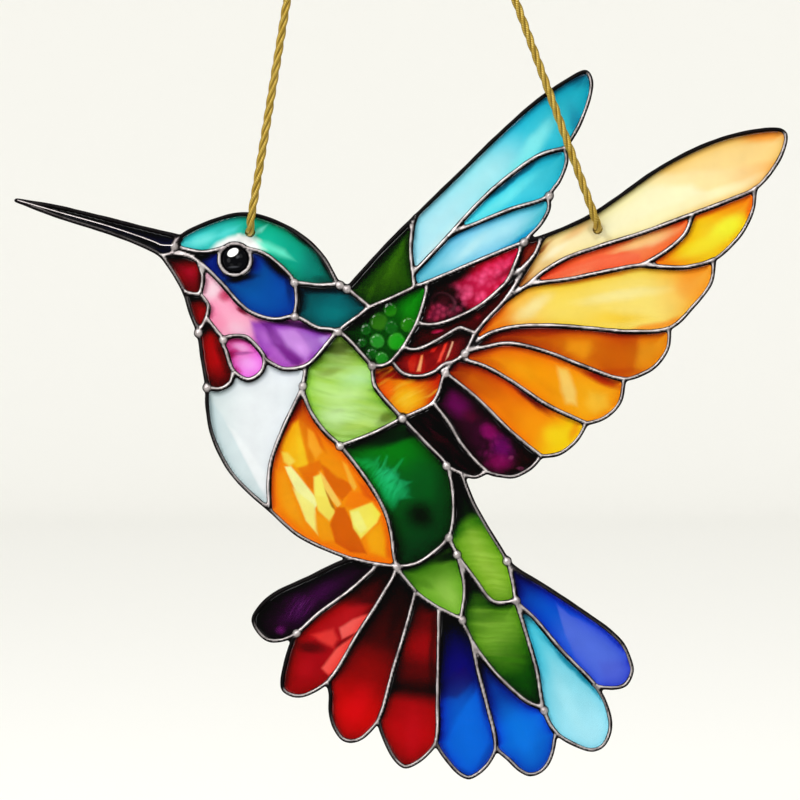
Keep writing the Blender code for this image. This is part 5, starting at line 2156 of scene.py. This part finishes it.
@dataclass
class Knots:
    """The two stopper knots behind the holes and the knot that gathers both legs on the ring.

    Attributes:
        stopper_size: The size of a stopper's overhand turns, in metres.
        gather_size: The size of the gathering knot's turns.
        pulled: How much thinner the cord is in a knot pulled tight.
        tighter: How much shorter its twist is there.
    """

    stopper_size: float = 0.0006
    gather_size: float = 0.00112
    pulled: float = 0.75
    tighter: float = 0.8
    TIGHT_SIDES = 10
    STEPS = 160
    LOOP_STEPS = 60
    STEP = 0.0004
    # The ways that the cord takes, in millimetres, with x outwards: from a little inside its hole through
    # the stopper to its cut end, and from the gathering knot down to a short end.
    INSIDE = 0.3
    TAIL = ((0, 0, 0), (0, 1.4, 0), (0.5, 2.8, 0.2), (1.9, 4.0, -0.7), (3.4, 3.9, -2.2), (4.4, 3.3, -3.9))
    SHORT_END = ((0, 0, 0), (0.6, 1.6, -2.4), (1.0, 2.4, -5.4), (1.5, 2.5, -8.6))
    # The two loops on the ring, in millimetres from its middle, and how far they slant round its wire.
    LOOP_ASIDE = 1.1
    LOOP_LEAN = 0.12
    # Where a leg's lead bends, as a share of its way in, and how thick an overhand knot is for its size.
    LEAD_BEND = 0.55
    THICKNESS = 1.15

    def build(self, rope: ThreeStrandRope, finish: Material) -> None:
        """Ties the three knots.

        Args:
            rope: The cord that they are tied in.
            finish: Its finish.
        """
        tight = ThreeStrandRope(rope.diameter * self.pulled, rope.pitch * self.tighter, self.TIGHT_SIDES)
        for leg in CORD_LEGS:
            name, node = f"stopper_{leg.side}", f"stopper_knot_{leg.side}"
            middle = np.array(Box.of(node).middle)
            start = np.array(leg.route[0]) - np.array([0, self.INSIDE * MM, 0])
            outward = np.array([math.copysign(1, middle[0]), 1, 1])
            turns = tight.lay(name, self._overhand(middle, self.stopper_size))
            tail = tight.lay("tail", smooth_line(start + np.array(self.TAIL) * MM * outward, self.STEP))
            self._hand_over(joined(name, [turns, tail]), finish, node)
        pieces = self._gathering(rope, np.array(Box.of("hanging_knot").middle))
        self._hand_over(joined("knot_on_ring", pieces), finish, "hanging_knot")

    def _gathering(self, rope: ThreeStrandRope, middle: np.ndarray) -> list[Piece]:
        """Ties the knot that gathers both legs.

        Args:
            rope: The cord.
            middle: The knot's middle, in metres.

        Returns:
            Its overhand turns, its loops round the ring's wire, the legs' leads and two short ends.
        """
        ring = Box.of("hanging_ring")
        wire = np.array([0, 0, ring.low.z + ring.reach.y])
        reach = ring.reach.y + rope.diameter / 2
        angles = np.linspace(0, 2 * math.pi, self.LOOP_STEPS)
        around = np.stack([self.LOOP_LEAN * np.sin(angles / 2), np.sin(angles), np.cos(angles)], axis=1)
        pieces = [rope.lay("gathering", self._overhand(middle, self.gather_size))]
        for way in (-1, 1):
            aside = np.array([way * self.LOOP_ASIDE * MM, 0, 0])
            pieces.append(rope.lay("loop", wire + reach * around + aside))
        for leg in CORD_LEGS:
            last = np.array(leg.route[-1])
            lead = np.array([last, last * (1 - self.LEAD_BEND) + middle * self.LEAD_BEND, middle])
            pieces.append(rope.lay("lead", smooth_line(lead, self.STEP, before=np.array(leg.route[-2]))))
        for way in (-1, 1):
            end = middle + np.array(self.SHORT_END) * (way, 1, 1) * MM
            pieces.append(rope.lay("end", smooth_line(end, self.STEP)))
        return pieces

    def _overhand(self, middle: np.ndarray, size: float) -> np.ndarray:
        """Runs round an overhand knot's turns, flat against the back of the bird.

        Args:
            middle: The knot's middle, in metres.
            size: The turns' size.

        Returns:
            The closed path.
        """
        t = np.linspace(0, 2 * math.pi, self.STEPS + 1)
        x, z = np.sin(t) + 2 * np.sin(2 * t), np.cos(t) - 2 * np.cos(2 * t)
        return middle + np.stack([x, -self.THICKNESS * np.sin(3 * t), z], axis=1) * size

    @staticmethod
    def _hand_over(knot: Piece, finish: Material, node: str) -> None:
        """Dresses a knot and hands it over."""
        dress(knot, finish)
        hand_over(knot, "gold_cord", node)


@dataclass(frozen=True)
class DrawnBrass:
    """Drawn brass wire, bent to a ring and lightly tarnished.

    The eye sees a warm yellow metal with fine draw lines round it and browner patches.
    """

    brass: str = "#d2aa4c"
    tarnish: str = "#94712a"
    blotch_mm: float = 3.0
    line_mm: float = 0.25

    def material(self) -> Material:
        """Makes the material.

        Returns:
            The material.
        """
        made, add, shader = new_material("drawn_brass_wire")
        place = add("TexCoord", out="Object")
        blotch = add("TexNoise", {"Vector": place, "Scale": METRE / self.blotch_mm, "Detail": 4.0})
        colour = add("Mix", {0: blotch, BELOW: linear(self.brass), ABOVE: linear(self.tarnish)}, **MIXED)
        lines = add("TexNoise", {"Vector": place, "Scale": METRE / self.line_mm, "Detail": 2.0})
        rough = add("MapRange", {"Value": lines, "To Min": 0.18, "To Max": 0.34})
        bump = add("Bump", {"Height": lines, "Strength": 0.15, "Distance": 0.03 * MM})
        feed(shader, {"Base Color": colour, "Roughness": rough, "Normal": bump, "Metallic": 1.0})
        return made


@dataclass
class JumpRing:
    """The hanging ring: round brass wire bent until its two cut ends meet.

    Attributes:
        gap_degrees: The opening that is left between its ends.
        seam_degrees: How far round the ring they meet.
    """

    gap_degrees: float = 1.6
    seam_degrees: float = 128.0

    def build(self) -> None:
        """Spins the wire's section round, leaves the seam and dresses the ring."""
        box = Box.of("hanging_ring")
        wire, middle = box.reach.y, box.middle
        place = middle + Vector((box.reach.x - wire, 0, 0))
        ring = primitive("circle", vertices=24, radius=wire, fill_type="NGON", location=place)
        ring.name = "jump_ring"
        settle(ring)
        around, seam = math.radians(360 - self.gap_degrees), math.radians(self.seam_degrees)
        with editing(ring):
            bpy.ops.mesh.spin(steps=120, angle=around, center=middle, axis=(0, 1, 0), dupli=False)
        weld(ring)
        with editing(ring):
            bpy.ops.transform.rotate(value=seam, orient_axis="Y", center_override=middle)
        dress(ring, DrawnBrass().material(), CREASE)
        hand_over(ring, "gold_ring", "hanging_ring")


# ---- camera, light and floor


@dataclass
class Studio:
    """A plain pale sweep, soft light and a camera straight in front of the bird.

    Attributes:
        aim: The point that the camera looks at, in millimetres, x and z.
        field_width: The width that the camera sees at the bird, in millimetres.
        lens: The focal length on a 36 mm sensor.
        floor_drop: How far the floor lies below the tail.
    """

    aim: tuple[float, float] = (9.9, -226.1)
    field_width: float = 206.8
    lens: float = 120.0
    floor_drop: float = 60.0
    SENSOR = 36.0
    # The surround's colour, how bright it is, and how bright in reflections.
    PALE_SKY = "#fbfbf8"
    SKY = 1.12
    FLAG = 0.09
    SOFTBOX_SIZE = 0.55
    SOFTBOX_REACH = 1.15
    # Each softbox's name, its angle round the camera's line in degrees, and its brightness.
    SOFTBOXES = (
        ("softbox_high_left", 132, 5.6), ("softbox_top", 84, 2.4), ("softbox_left", 184, 2.2),
        ("softbox_high_right", 36, 1.2), ("softbox_low_left", 236, 0.7), ("softbox_low_right", 310, 0.5),
    )
    # The sweep's colour and, in metres, how far it runs before and behind the bird, its width, the height
    # of its wall and the round of its corner.
    PAPER = "#f3f2ee"
    DEPTH = 4.0
    WIDTH = 9.0
    HEIGHT = 3.0
    CORNER = 1.2

    def build(self) -> None:
        """Makes the camera, the lights, the sky and the sweep."""
        self._camera()
        self._sky()
        self._lights()
        self._sweep()
        bpy.context.scene.view_settings.view_transform = "Standard"

    def _camera(self) -> None:
        """A long lens, level and square on."""
        data = bpy.data.cameras.new("camera")
        data.sensor_width = self.SENSOR
        data.lens = self.lens
        data.clip_start = 0.01
        camera = new_object("camera", data)
        distance = self.field_width * self.lens / self.SENSOR
        camera.location = Vector((self.aim[0], -distance, self.aim[1])) * MM
        camera.rotation_euler = (FRONT_ON, 0, 0)
        bpy.context.scene.camera = camera

    def _sky(self) -> None:
        """An even pale surround, darker in reflections, as a black flag beside a lens keeps colours deep."""
        world = bpy.data.worlds.new("surround")
        world.use_nodes = True
        bpy.context.scene.world = world
        add = partial(add_node, world.node_tree)
        rays = add("LightPath").node.outputs
        through = add("Math", {0: 1.0, 1: rays["Is Transmission Ray"]}, operation="SUBTRACT")
        mirrored = add("Math", {0: rays["Is Glossy Ray"], 1: through}, operation="MULTIPLY")
        strength = add("MapRange", {"Value": mirrored, "To Min": self.SKY, "To Max": self.FLAG})
        feed(world.node_tree.nodes["Background"], {"Color": linear(self.PALE_SKY), "Strength": strength})

    def _lights(self) -> None:
        """A ring of softboxes round the camera's line, brightest high on the left.

        They stand wide enough that flat panes don't mirror them to the front, while every round line of
        solder, whichever way it runs, catches two of them along its crown.
        """
        target = Vector((self.aim[0], 0, self.aim[1])) * MM
        for name, degrees, brightness in self.SOFTBOXES:
            data = bpy.data.lights.new(name, "AREA")
            data.shape = "DISK"
            data.size = self.SOFTBOX_SIZE
            data.energy = brightness * math.pi * math.pi * self.SOFTBOX_SIZE**2 / 4
            light = new_object(name, data)
            angle = math.radians(degrees)
            away = Vector((math.cos(angle), -1.0, math.sin(angle))).normalized()
            light.location = target + away * self.SOFTBOX_REACH
            light.rotation_euler = away.to_track_quat("Z", "Y").to_euler()

    def _sweep(self) -> None:
        """A floor that curves up into a wall well behind the bird."""
        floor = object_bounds()[0].z - self.floor_drop * MM
        rows = [(-self.DEPTH, floor), (self.DEPTH - self.CORNER, floor)]
        for angle in (math.radians(step) for step in range(6, 91, 6)):
            y, z = self.CORNER * math.sin(angle), self.CORNER * math.cos(angle)
            rows.append((self.DEPTH - self.CORNER + y, floor + self.CORNER - z))
        rows.append((self.DEPTH, floor + self.HEIGHT))
        places = [(side * self.WIDTH / 2, y, z) for y, z in rows for side in (-1, 1)]
        mesh = bpy.data.meshes.new("sweep")
        mesh.from_pydata(places, [], [(i, i + 1, i + 3, i + 2) for i in range(0, len(places) - 2, 2)])
        sweep = new_object("sweep", mesh)
        paper, _, shader = new_material("pale_paper")
        feed(shader, {"Base Color": linear(self.PAPER), "Roughness": 0.9})
        dress(sweep, paper)
        sweep.visible_glossy = False
        sweep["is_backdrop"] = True


# ---- the whole suncatcher


def main() -> None:
    """Builds the suncatcher around the frame."""
    logging.basicConfig(level=logging.INFO, format="%(name)s: %(message)s")
    cad_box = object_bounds()
    Studio().build()
    gold = GoldThread().material()
    rope = ThreeStrandRope()
    Knots().build(rope, gold)
    JumpRing().build()
    for leg in CORD_LEGS:
        leg.build(rope, gold)
    net = LineNet("leading", [*FINISHES, "eye"])
    Leading(net).build()
    BillParting(net.fields["beak"]).build()
    holes = {"crown": Vector(CORD_LEGS[0].route[0]), "cream": Vector(CORD_LEGS[1].route[0])}
    for name, finish in FINISHES.items():
        Pane(name, net.fields[name], finish).build(holes.get(name))
    Eye().build()
    new_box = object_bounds()
    [[list(corner) for corner in box] for box in (cad_box, new_box)]


if __name__ == "__main__":
    main()
